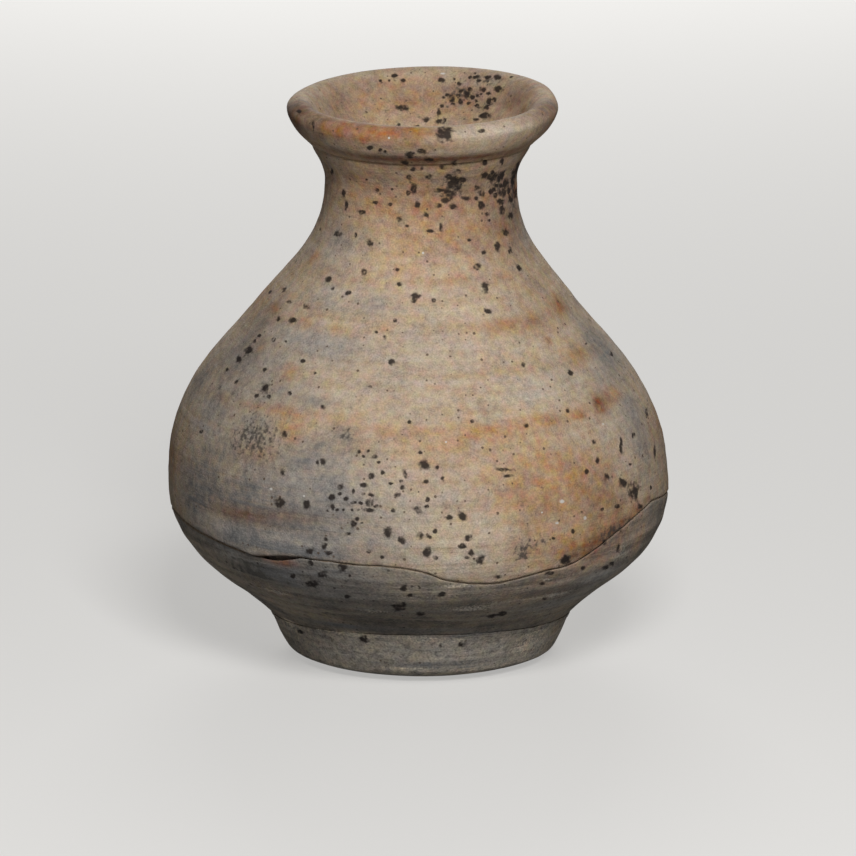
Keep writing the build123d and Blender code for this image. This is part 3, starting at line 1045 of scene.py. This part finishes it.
# Soot; also painted shade in the crease under the lip, on the left of the rim and down the right of the neck,
# and a band darker just above the foot
SOOT_AND_SHADE_SPOTS = (
    (198, 484, 36, 32, 0.82), (196, 496, 28, 26, 0.7), (255, 500, 60, 28, 0.88), (310, 480, 50, 30, 0.3),
    (345, 482, 30, 30, 0.15), (250, 512, 70, 18, 0.9), (325, 512, 50, 22, 0.45), (300, 552, 60, 8, 1.0),
    (236, 362, 34, 40, 0.45), (205, 415, 22, 26, 0.3), (255, 325, 26, 26, 0.35), (275, 385, 30, 26, 0.35),
    (345, 432, 16, 10, 0.7), (330, 346, 34, 14, 0.3), (315, 572, 55, 14, 0.85), (270, 572, 40, 14, 0.8),
    (340, 598, 50, 16, 0.35), (265, 602, 16, 8, 0.5), (552, 104, 14, 16, 0.9), (512, 225, 14, 30, 0.45),
    (342, 236, 20, 14, 0.45), (205, 464, 24, 22, 0.35), (235, 541, 60, 12, 0.8), (330, 533, 60, 18, 0.45),
    (366, 498, 30, 34, 0.1), (372, 553, 30, 9, 0.3), (195, 500, 18, 30, 0.5), (240, 380, 50, 60, 0.35),
    (600, 345, 30, 30, 0.8), (640, 430, 30, 60, 0.45), (400, 630, 120, 5, 0.65), (345, 626, 50, 6, 0.75),
    (480, 634, 60, 4, 0.75), (410, 612, 100, 10, 0.4), (330, 590, 60, 20, 0.55), (322, 270, 30, 22, 0.25),
    (300, 108, 24, 22, 0.9), (330, 448, 36, 14, 0.5), (298, 460, 30, 12, 0.65), (523, 551, 12, 11, 0.8),
    (520, 100, 20, 14, 0.3), (225, 399, 18, 8, 0.35), (420, 651, 50, 8, 0.3), (425, 160, 105, 7, 0.5),
    (314, 402, 22, 6, 0.7), (374, 306, 16, 12, 0.35), (254, 437, 36, 24, 0.4), (203, 375, 20, 28, 0.85),
    (270, 312, 26, 16, 0.3), (235, 455, 36, 14, 0.55), (600, 375, 30, 16, 0.2), (430, 665, 100, 5, 0.7),
    (345, 92, 40, 14, 0.15), (466, 96, 24, 11, 0.5), (484, 106, 13, 17, 0.55), (490, 80, 24, 8, 0.5),
    (447, 124, 9, 13, 0.35), (456, 194, 20, 22, 0.45), (490, 194, 28, 26, 0.42), (290, 576, 18, 10, 0.5),
)
# Smudges; also painted shade in the crease under the lip
SMUDGE_AND_SHADE_SPOTS = (
    (254, 437, 42, 29, 0.85), (599, 404, 12, 9, 0.6), (249, 351, 9, 8, 0.9), (239, 360, 6, 5, 0.8),
    (249, 365, 6, 4, 0.7), (221, 388, 6, 5, 0.7), (234, 395, 6, 5, 0.7), (265, 390, 7, 7, 0.8),
    (189, 403, 7, 4, 0.7), (345, 434, 14, 10, 0.75), (523, 551, 11, 12, 1.0), (505, 470, 14, 5, 0.6),
    (539, 487, 8, 6, 0.5), (525, 507, 7, 8, 0.6), (546, 540, 16, 8, 0.7), (566, 560, 9, 7, 1.0),
    (602, 539, 12, 5, 1.0), (614, 530, 10, 4, 1.0), (629, 519, 10, 3.5, 0.9), (606, 530, 12, 7, 0.8),
    (622, 530, 14, 6, 0.8), (640, 510, 8, 8, 0.7), (608, 566, 14, 6, 0.8), (410, 622, 85, 8, 0.9),
    (350, 616, 50, 9, 0.95), (330, 603, 30, 5, 0.7), (300, 576, 30, 8, 0.5), (345, 582, 24, 8, 0.4),
    (463, 94, 15, 9, 0.9), (486, 80, 24, 8, 0.8), (484, 108, 9, 13, 0.8), (447, 105, 9, 11, 0.65),
    (428, 119, 10, 5, 0.7), (321, 135, 5, 6, 0.5), (488, 311, 7, 5, 0.5), (396, 76, 12, 4, 0.55),
    (455, 184, 16, 14, 0.9), (497, 182, 22, 18, 0.85), (513, 180, 9, 22, 1.0), (420, 158, 24, 6, 0.7),
    (410, 182, 10, 12, 0.5), (255, 572, 44, 14, 1.0), (265, 602, 18, 8, 0.95), (512, 200, 8, 16, 0.7),
    (230, 560, 20, 10, 0.4),
)
# Pale wear; also painted highlights on the fold above the left seam, on the bowl's edge under the seam, on
# the foot's ledge and on the front of the rim
SCUFF_AND_HIGHLIGHT_SPOTS = (
    (338, 170, 13, 15, 0.4), (290, 624, 14, 10, 0.75), (474, 608, 26, 8, 0.65), (420, 640, 28, 7, 0.5),
    (378, 612, 24, 5, 0.6), (278, 592, 24, 6, 0.6), (455, 586, 18, 2, 1.0), (547, 579.5, 7, 2, 1.0),
    (510, 601, 50, 5, 0.35), (622, 552, 24, 14, 0.4), (352, 634, 24, 3.5, 1.0), (318, 629, 10, 3, 0.8),
    (450, 641, 24, 4, 0.6), (535, 632, 20, 4, 0.8), (390, 645, 14, 3, 0.4), (400, 668, 50, 2, 0.5),
    (320, 645, 20, 12, 0.3), (530, 645, 26, 12, 0.85), (330, 600, 40, 4, 0.4), (430, 597, 60, 4, 0.4),
    (526, 395, 42, 14, 0.5), (490, 528, 34, 16, 0.35), (450, 556, 46, 18, 0.45), (340, 292, 26, 10, 0.2),
    (190, 518, 10, 6, 0.4), (235, 538, 40, 6, 0.6), (450, 446, 60, 10, 0.2), (296, 432, 14, 10, 0.35),
    (560, 594, 30, 10, 0.5), (295, 541, 50, 5, 0.35), (500, 130, 60, 9, 0.45), (400, 545, 20, 12, 0.3),
    (400, 520, 34, 18, 0.3),
)
# Specks: column, row, half width and half height in pixels
MOUTH_SPECKS = (
    (402.6, 107.6, 6.5, 3), (403.6, 80.4, 2.4, 2), (426, 120, 4, 2.6), (398.7, 125, 2, 1.6),
    (441, 80, 3, 2.4), (459, 83.6, 2.4, 2.2), (475.5, 77, 3.6, 1.8), (487.6, 77.6, 3.2, 2),
    (496.7, 77, 3.6, 2.8), (498, 88.5, 4.6, 3), (484, 89.7, 3, 2.8), (487.6, 93.3, 2.8, 2.2),
    (478, 95.8, 2, 1.7), (466.4, 94.5, 4.6, 4), (451.8, 98.2, 3.4, 4), (443.3, 97.6, 2, 1.7),
    (461, 101.2, 2.7, 2.3), (489.4, 101.8, 2.8, 4.2), (442, 105.5, 2.3, 2.1), (477, 105.5, 2, 1.7),
    (487, 107.3, 2.7, 2.3), (484, 115.8, 5, 3.2), (476.7, 119.4, 3, 1.3), (438.5, 113.3, 2.2, 4.2),
    (440.3, 121.2, 4, 2.6), (511, 77, 1.7, 1.4), (389, 80.5, 1.6, 1.4), (395.6, 75.6, 3.6, 1.6),
    (380.5, 80.5, 1.4, 1.2), (454.6, 79, 1.6, 1.4), (470.6, 77.6, 2.2, 1.6), (479, 80.5, 2, 1.6),
    (475, 73.5, 1.6, 1.2), (461, 91, 2.6, 2.2), (470, 90, 2.4, 2.2), (472, 97, 2.6, 2.2),
    (464, 100, 2.2, 1.8), (458, 96, 2.2, 2), (468, 103, 2, 1.6), (447.5, 95, 2, 1.8), (444, 119.8, 2.6, 2),
    (418, 126, 2, 1.4), (493.8, 99.4, 1.8, 2.4), (476.4, 101, 1.6, 1.8), (481, 93.6, 1.6, 1.6),
    (453, 103.5, 1.8, 1.4),
)
RIM_SPECKS = (
    (445.2, 134, 7.6, 7.4), (481.5, 130.5, 3.2, 1.7), (369.7, 148.2, 2.6, 2), (380.3, 149.4, 2, 1.6),
    (409.4, 154.8, 3.8, 2.9), (423.3, 151, 5, 2.3), (404.8, 162.4, 3.8, 2.2), (429.4, 160.4, 3.8, 2.2),
    (298.8, 111.5, 2.2, 1.8), (313.3, 126, 1.2, 4), (454.8, 163.6, 3, 2.4), (385, 151, 1.5, 1.3),
)
NECK_SPECKS = (
    (442, 167.3, 2.9, 2.6), (412.7, 169.9, 2.4, 2), (422, 168.7, 2.3, 2.1), (458.5, 170.5, 1.9, 1.6),
    (409, 177.9, 2.7, 2.2), (429.4, 177.2, 2.8, 2.8), (455.5, 182.5, 7.6, 7.4), (463, 181, 2.6, 2.8),
    (449, 178, 4, 3.5), (443, 196, 3, 2.5), (450, 194, 6, 4), (413.3, 188, 3.2, 5), (408.4, 193, 2.8, 2.4),
    (440.3, 190.3, 5, 2), (445.2, 200, 3.6, 3), (438.8, 206, 3, 2.6), (453, 206.7, 3.4, 3),
    (465.8, 198.2, 4.2, 2), (418, 204.8, 2.6, 2.6), (426.4, 215.5, 3, 2.8), (399, 219, 2.8, 2.4),
    (407.2, 226, 1.8, 1.6), (441, 227.3, 1.9, 3.4), (430, 231.2, 3.6, 1.4), (469, 240.4, 1.7, 1.5),
    (332, 171.5, 1.7, 3), (343.6, 192.7, 1.9, 4), (346.6, 204.8, 1.7, 3.8), (362.4, 212, 3.6, 1.8),
    (374.5, 202.7, 2.7, 1.5), (366.4, 179.4, 1.8, 1.6), (377.5, 189.7, 1.7, 1.6), (392.3, 189, 1.5, 1.4),
    (390.5, 204.4, 1.5, 1.4), (338.2, 234.5, 3.6, 2.6), (356, 235, 2, 3), (369.7, 243, 2.8, 3.2),
    (320, 229, 1.3, 2.1), (485.2, 163, 2.4, 3.3), (501.5, 161.2, 1.8, 2.7), (484.5, 175.8, 4.8, 4.2),
    (494.2, 177.6, 4.2, 4.4), (502, 175.8, 3, 4.4), (505.8, 183.6, 3.8, 5), (501, 186, 3.2, 2.8),
    (502.7, 192.7, 3.6, 5), (512.4, 181.2, 2, 4), (518.0, 166.7, 2, 4.4), (515.5, 193.3, 1.9, 5),
    (477.3, 187.3, 2.6, 2.2), (482, 193.3, 3.2, 2.8), (490.6, 191.5, 2.3, 2), (495.5, 195.2, 1.8, 2.6),
    (499.7, 201.2, 4.4, 2.9), (481, 204.8, 2.6, 4), (502, 210.3, 2.8, 4.4), (487, 214, 2.2, 2),
    (510.6, 216.4, 2.2, 3.4), (489.4, 220.2, 1.5, 1.4), (505.8, 232.7, 2.5, 3.2), (497.3, 246, 2.6, 5),
    (484, 252.4, 2.4, 1.9), (509.5, 250, 2.2, 2.8), (514, 174, 2.6, 5), (489, 177, 3.6, 3),
    (498, 179, 3, 3.4), (492, 172.5, 2.6, 2), (516.5, 171, 2, 5), (497, 186, 2.6, 2.4), (508, 190, 2.2, 4),
    (510, 199, 2.2, 3.4), (494, 189.5, 2, 2), (476, 198, 2, 2.6),
)
SHOULDER_SPECKS = (
    (478, 266.5, 3.3, 3), (518.6, 268, 2.3, 2.7), (485.5, 287.3, 3.9, 4.5), (414.8, 296.4, 4.6, 5),
    (433.7, 300.2, 2, 2), (364.5, 272.7, 2.8, 2.9), (397, 269.8, 2.2, 2), (399.7, 284.4, 2.3, 2.1),
    (328.4, 279, 3.4, 3), (333, 289, 1.8, 1.6), (349, 293, 2.9, 2.2), (284.4, 289.8, 2.4, 2.7),
    (270, 292, 1.8, 2.2), (288.6, 302, 2.2, 1.9), (305.7, 307, 2.8, 2.8), (278.6, 318.8, 2.5, 2.4),
    (293, 320, 3, 2.5), (259.6, 335.7, 1.8, 1.7), (255, 341, 1.9, 1.8), (273.7, 339.5, 2.1, 1.9),
    (286, 341.5, 1.5, 1.5), (376.5, 332, 1.7, 1.6), (384.8, 336.7, 2.6, 2.4), (394.4, 320.4, 2, 2),
    (391.4, 362, 2.9, 2.6), (303.5, 361, 2.1, 1.8), (264.5, 369, 2.3, 2.4), (227, 369, 1.9, 1.9),
    (315, 372.7, 1.6, 1.5), (236, 382, 2.1, 2), (265.4, 388.5, 3.6, 4.4), (256.7, 395.6, 2.4, 2.2),
    (269, 396.7, 1.9, 1.7), (290, 393.4, 2, 1.9), (522.8, 365, 2.2, 2), (571, 373, 2.8, 2.4),
    (611.5, 354, 1.7, 3), (586, 343.6, 1.5, 1.4), (249, 350, 4.4, 3.6), (239, 359.5, 2.7, 3),
    (370.7, 387, 1.7, 1.6), (567.5, 411, 2.2, 2.6), (526.6, 425.8, 2.4, 2.4), (409.6, 422, 2.1, 1.8),
    (472, 421, 1.8, 1.8), (322.6, 406.7, 2.8, 2.2), (646.8, 413.8, 1.3, 4.6), (201.5, 431.5, 2, 1.9),
    (284.4, 435, 2.4, 2.6), (488, 311, 3, 2),
)
BELLY_SPECKS = (
    (282.4, 473.4, 2.6, 3.2), (279.5, 501.3, 4.6, 4.9), (317.3, 462.5, 2, 2.7), (322.9, 462.3, 2.7, 2.6),
    (306.8, 504.6, 2.9, 3.4), (340.3, 486.8, 2.7, 3), (339.5, 493.8, 1.7, 1.5), (332.2, 496.8, 2.6, 2.4),
    (345.5, 498.8, 2.4, 2), (332.2, 506.7, 3.1, 2.7), (337.5, 509.7, 1.7, 1.5), (353.3, 491.3, 1.5, 2.6),
    (359.9, 452, 2, 1.9), (368.7, 450.7, 1.4, 1.6), (363.2, 456.5, 1.8, 1.4), (374.8, 456.8, 2.6, 1.9),
    (378.6, 462, 2.4, 1.6), (371.5, 475.6, 2.9, 2.8), (382.3, 473, 2.1, 2.1), (363.2, 484.7, 3.4, 2.2),
    (370.7, 494.6, 2.6, 1.9), (364, 494, 1.8, 1.6), (368.2, 502, 2.8, 3.4), (368.2, 510.4, 4.2, 2),
    (376, 506, 2.2, 1.6), (361, 503.5, 2.2, 1.4), (354, 523.6, 3.2, 2.8), (357.4, 518.7, 2, 2.2),
    (348.3, 534, 3, 1.7), (388, 532.4, 4, 4.6), (401, 541, 3.4, 3.9), (393, 510.4, 2, 2),
    (402.2, 488, 2.4, 2.6), (398, 494.6, 3.7, 2.4), (404.7, 473.9, 2.6, 4.2), (418, 510, 3.4, 3.1),
    (426.7, 506.7, 2.6, 2), (427.5, 499.6, 2.4, 2.2), (426, 481.7, 2.5, 2.2), (424.6, 464, 4.8, 3.8),
    (420.6, 535.6, 3.4, 3.2), (420, 452.8, 1.9, 1.6), (437.4, 467.3, 1.6, 1.6), (442.8, 478, 2.2, 2.6),
    (449, 517.5, 3.6, 2.4), (462.6, 515.9, 4.4, 4), (434.9, 531.4, 2.2, 2.6), (430, 537, 2.4, 2),
    (427.3, 552.7, 3, 4), (435.7, 557.6, 2.4, 1.8), (468.9, 538.6, 3.2, 3.4), (462, 546, 3.6, 2.4),
    (471.4, 552.7, 2.4, 3.6), (467.5, 558, 2.6, 2), (480.5, 559.6, 4.4, 4.2), (497.9, 577.2, 3.1, 2.6),
    (594, 441.6, 2.6, 2.5), (621, 445, 1.4, 6), (654.6, 451.5, 1.3, 6.4), (633.5, 435, 1.7, 2.3),
    (597.4, 460.6, 1.9, 3), (630.6, 464.4, 1.6, 1.8), (586.6, 471.4, 1.7, 2.6), (606.5, 476.4, 2.5, 3.2),
    (622.6, 483, 3.4, 4.4), (633.9, 491, 5, 8), (617.3, 506.2, 2.3, 1.9), (602.4, 509, 1.8, 1.7),
    (651, 487.5, 1.3, 2), (640.5, 506, 2.4, 2.4), (553.5, 538, 1.8, 1.6), (565.9, 560, 4.6, 4.2),
    (549.3, 572.6, 4.4, 2), (603.5, 542.5, 3.6, 2.6), (618, 547.7, 1.9, 3.8), (572.5, 531.4, 1.8, 2.1),
    (310, 549.9, 3, 3.4), (324.6, 545.5, 2.7, 2.6), (325.6, 539, 1.9, 1.8), (329.5, 553.2, 2.7, 2.1),
    (368.5, 551.8, 2.2, 1.9), (382, 557.3, 1.7, 1.5), (505, 469.5, 8, 1.8), (509.5, 475.6, 4, 1.8),
    (353.5, 502.6, 2.4, 1.1), (358.2, 509.7, 1.3, 1.2), (352, 510, 1.2, 1.1), (343.5, 510, 1.1, 1.1),
    (372, 502.5, 1.5, 2.4), (362, 523, 2, 1.1), (327.5, 511, 1.4, 1.1), (391, 483.5, 2.4, 1.1),
    (401, 481, 1.5, 1.2), (418.5, 492, 1.1, 1),
)
BOWL_SPECKS = (
    (310.6, 563, 2.6, 2.1), (321.2, 573.4, 4.4, 3), (342.5, 566.8, 4.6, 4.2), (311.8, 583, 5.8, 3.6),
    (293.2, 575.9, 2.2, 2), (350, 576, 1.9, 1.6), (403.8, 588, 3, 2.6), (408.8, 595, 2.8, 1.9),
    (347.4, 597, 2.4, 1.8), (399.5, 606.5, 5.6, 4), (441.5, 594.6, 5, 2.2), (544.3, 598.3, 2.2, 1.8),
    (582.5, 567.6, 2.6, 1.8), (605.7, 567.6, 3, 2.4), (612, 564, 2.8, 2), (364, 639, 4.4, 3.6),
    (300, 632, 3, 2), (492, 616, 4, 2), (502, 614, 4, 2.6), (440, 646, 2, 2), (461, 644, 3, 3),
    (542.7, 583.3, 3, 1.4), (421, 614, 5, 2.2), (537, 626, 3, 2),
)
GLINTS = (
    (423, 253, 1.1, 1.1), (562, 501.5, 2.2, 1.7), (585, 518, 1.3, 1.5), (557, 523, 1.6, 1.1),
    (542, 512.5, 0.8, 0.8), (271, 489, 1.3, 1.1), (304, 496, 1, 1), (446, 442, 0.9, 0.9),
    (603, 424, 0.9, 0.9), (443, 73.5, 2.4, 0.9), (389, 138, 1, 1),
)
SPECK_DEPTH = 4
SPECK_LEAST_SLOPE = 0.35
SPECK_FACES_REACH = 1.8
SPECK_FACES_MARGIN = 0.4 * MM
FAR_OFF = 9.0
BEHIND_SEED = 7
BEHIND_TURNS = (93.0, 267.0)
BEHIND_HEIGHTS = (4.0 * MM, 73.0 * MM)
BEHIND_START = 60.0 * MM
BEHIND_SPECKS = 210
BEHIND_SPECK_RADII = (0.18 * MM, 0.6 * MM)
BEHIND_STAINS = {"flush": 34, "umber_and_shade": 7, "rust": 3, "lilac": 26, "soot_and_shade": 12, "smudge_and_shade": 16, "scuff_and_highlight": 6}
BEHIND_STAIN_WIDTHS = (3.0 * MM, 14.0 * MM)
BEHIND_STAIN_FLATNESS = (0.12, 0.35)
BEHIND_STAIN_STRENGTHS = (0.4, 0.9)

flask = (foot, bowl, shell, lip)
flask_shape = shape_of(*(piece.data for piece in flask))
chance = np.random.default_rng(BEHIND_SEED)
picture_right = Vector((1.0, 0.0, 0.0))


def behind(count):
    """Points of the flask's skin at random turns behind and at random heights."""
    for turn, height in zip(chance.uniform(*BEHIND_TURNS, count), chance.uniform(*BEHIND_HEIGHTS, count)):
        ahead, aside = heading(turn)
        outwards = Vector((aside, -ahead, 0.0))
        yield flask_shape.ray_cast(Vector((0, 0, height)) + BEHIND_START * outwards, -outwards)[0]


def seen_stains(spots):
    """Middle, half width, half height and strength of stains given by their pixels in the picture."""
    for column, row, half_width, half_height, strength in spots:
        yield seen_at(flask_shape, column, row), half_width * PIXEL, half_height * PIXEL, strength


def chance_stains(count):
    """Middle, half width, half height and strength of wide, low stains behind the flask."""
    for middle in behind(count):
        half_width = chance.uniform(*BEHIND_STAIN_WIDTHS)
        half_height = half_width * chance.uniform(*BEHIND_STAIN_FLATNESS)
        yield middle, half_width, half_height, chance.uniform(*BEHIND_STAIN_STRENGTHS)


def keep(piece, name, values):
    """Keep a value for each of a piece's points under a name, for its material to read."""
    layer = piece.data.attributes.new(name, "FLOAT", "POINT")
    layer.data.foreach_set("value", values.astype(np.float32))


def stained(points, spots):
    """Strength at each point of soft oval stains that follow the turning lines round the flask."""
    degrees = np.degrees(facing_front(points))
    radii = from_axis(points)
    clear = np.ones(len(points))
    for middle, half_width, half_height, strength in spots:
        radius = math.hypot(middle.x, middle.y)
        across = np.radians((degrees - turned_to(middle) + 180) % 360 - 180) * radius / half_width
        along = np.hypot(points[:, 2] - middle.z, radii - radius) / half_height
        clear *= 1 - strength * np.exp(-(across**2) - along**2)
    return 1 - clear


for stain_name, stain_spots in (
    ("flush", FLUSH_SPOTS),
    ("umber_and_shade", UMBER_AND_SHADE_SPOTS),
    ("rust", RUST_SPOTS),
    ("lilac", LILAC_SPOTS),
    ("soot_and_shade", SOOT_AND_SHADE_SPOTS),
    ("smudge_and_shade", SMUDGE_AND_SHADE_SPOTS),
    ("scuff_and_highlight", SCUFF_AND_HIGHLIGHT_SPOTS),
):
    stains = [*seen_stains(stain_spots), *chance_stains(BEHIND_STAINS[stain_name])]
    for piece in flask:
        keep(piece, stain_name, stained(places(piece), stains))


def seen_specks(marks):
    """Middle, reach and axes of specks given as (column, row, half width, half height) in the picture."""
    found = []
    for column, row, half_width, half_height in marks:
        middle, normal, _, _ = flask_shape.ray_cast(camera.location, sight(column, row))
        longer = max(half_width, half_height)
        halves = ((picture_right, half_width), (picture_up, half_height), (gaze, SPECK_DEPTH * longer))
        axes = np.array([way / (half * PIXEL) for way, half in halves]).T
        reach = longer * PIXEL / max(abs(normal.dot(gaze)), SPECK_LEAST_SLOPE)
        found.append((np.array(middle), reach, axes))
    return found


def chance_specks(count):
    """Middle, reach and axes of round specks of random sizes behind the flask."""
    found = []
    for middle in behind(count):
        low, high = BEHIND_SPECK_RADII
        radius = low + (high - low) * chance.random() ** 2
        found.append((np.array(middle), radius, np.eye(3) / radius))
    return found


def fleck(piece, name, marks):
    """Keep on each face corner its offset from the face's nearest speck, in that speck's half sizes."""
    mesh = piece.data
    near = KDTree(len(mesh.polygons))
    for face in mesh.polygons:
        near.insert(face.center, face.index)
    near.balance()
    owner = np.full(len(mesh.polygons), -1)
    closest = np.full(len(mesh.polygons), np.inf)
    for index, (middle, reach, axes) in enumerate(marks):
        for centre, face, _ in near.find_range(middle, SPECK_FACES_REACH * reach + SPECK_FACES_MARGIN):
            away = np.linalg.norm((np.array(centre) - middle) @ axes)
            if away < closest[face]:
                closest[face] = away
                owner[face] = index
    middles = np.array([middle for middle, _, _ in marks])
    all_axes = np.array([axes for _, _, axes in marks])
    corner_points = np.empty(len(mesh.loops), np.int32)
    mesh.loops.foreach_get("vertex_index", corner_points)
    face_sizes = np.empty(len(mesh.polygons), np.int32)
    mesh.polygons.foreach_get("loop_total", face_sizes)
    corner_owner = np.repeat(owner, face_sizes)
    away = places(piece)[corner_points] - middles[corner_owner]
    offsets = np.einsum("ij,ijk->ik", away, all_axes[corner_owner])
    offsets[corner_owner < 0] = FAR_OFF
    layer = mesh.attributes.new(name, "FLOAT_VECTOR", "CORNER")
    layer.data.foreach_set("vector", offsets.astype(np.float32).ravel())


specks_seen = MOUTH_SPECKS + RIM_SPECKS + NECK_SPECKS + SHOULDER_SPECKS + BELLY_SPECKS + BOWL_SPECKS
all_specks = seen_specks(specks_seen) + chance_specks(BEHIND_SPECKS)
all_glints = seen_specks(GLINTS)
for piece in flask:
    fleck(piece, "speck", all_specks)
    fleck(piece, "glint", all_glints)

# Studio. A plain pale floor, one soft lamp above the camera and a weaker one behind for the other views.
# The floor looks evenly pale to the camera, and throws back to the flask only the light that falls on it.
FLOOR_REACH = 4.0
FLOOR_DROP = 0.02 * MM
FLOOR_PALE = (0.36, 0.355, 0.345, 1.0)
FLOOR_DIM = (0.27, 0.27, 0.27, 1.0)
FLOOR_GLOW = (0.42, 0.415, 0.405, 1.0)
BLACK = (0.0, 0.0, 0.0, 1.0)
BACKDROP = (0.66, 0.65, 0.64, 1.0)
# Lamps: name, height and turn in degrees, distance and side in metres, watts
LAMPS = (
    ("key_lamp", 37.0, 8.0, 0.5, 0.16, 2.18),
    ("back_lamp", 20.0, 180.0, 0.7, 0.3, 2.7),
)
SKY_DIM = (0.03, 0.03, 0.03, 1.0)

floor_mesh = bpy.data.meshes.new("floor")
floor_signs = ((-1, -1), (1, -1), (1, 1), (-1, 1))
floor_corners = [(x * FLOOR_REACH, y * FLOOR_REACH, -FLOOR_DROP) for x, y in floor_signs]
floor_mesh.from_pydata(floor_corners, [], [(0, 1, 2, 3)])
floor = stand("floor", floor_mesh)
floor_paint = bpy.data.materials.new("floor_paint")
floor_paint.use_nodes = True
floor_tree = floor_paint.node_tree
floor_shader = shader_of(floor_tree, "BSDF_PRINCIPLED")
for input_name, level in (("Roughness", 1.0), ("Specular IOR Level", 0.0), ("Emission Strength", 1.0)):
    floor_shader.inputs[input_name].default_value = level
floor_seen = Wire(floor_tree).add("ShaderNodeLightPath", None, None, "Is Camera Ray")
floor_colour = floor_seen.blend(FLOOR_DIM, FLOOR_PALE)
floor_glow = floor_seen.blend(BLACK, FLOOR_GLOW)
floor_tree.links.new(floor_colour.socket, floor_shader.inputs["Base Color"])
floor_tree.links.new(floor_glow.socket, floor_shader.inputs["Emission Color"])
floor_mesh.materials.append(floor_paint)

for lamp_name, height, turn, away, side, watts in LAMPS:
    lamp_data = bpy.data.lights.new(lamp_name, "AREA")
    lamp_data.size = side
    lamp_data.energy = watts
    lamp = stand(lamp_name, lamp_data)
    level, rise = heading(height)
    ahead, aside = heading(turn)
    lamp_way = Vector((aside * level, -ahead * level, rise))
    lamp.location = MID_POINT + away * lamp_way
    lamp.rotation_euler = (-lamp_way).to_track_quat("-Z", "Y").to_euler()

sky = bpy.data.worlds.new("sky")
sky.use_nodes = True
bpy.context.scene.world = sky
sky_seen = Wire(sky.node_tree).add("ShaderNodeLightPath", None, None, "Is Camera Ray")
sky_colour = sky_seen.blend(SKY_DIM, BACKDROP)
sky.node_tree.links.new(sky_colour.socket, shader_of(sky.node_tree, "BACKGROUND").inputs["Color"])
bpy.context.scene.view_settings.view_transform = "Standard"
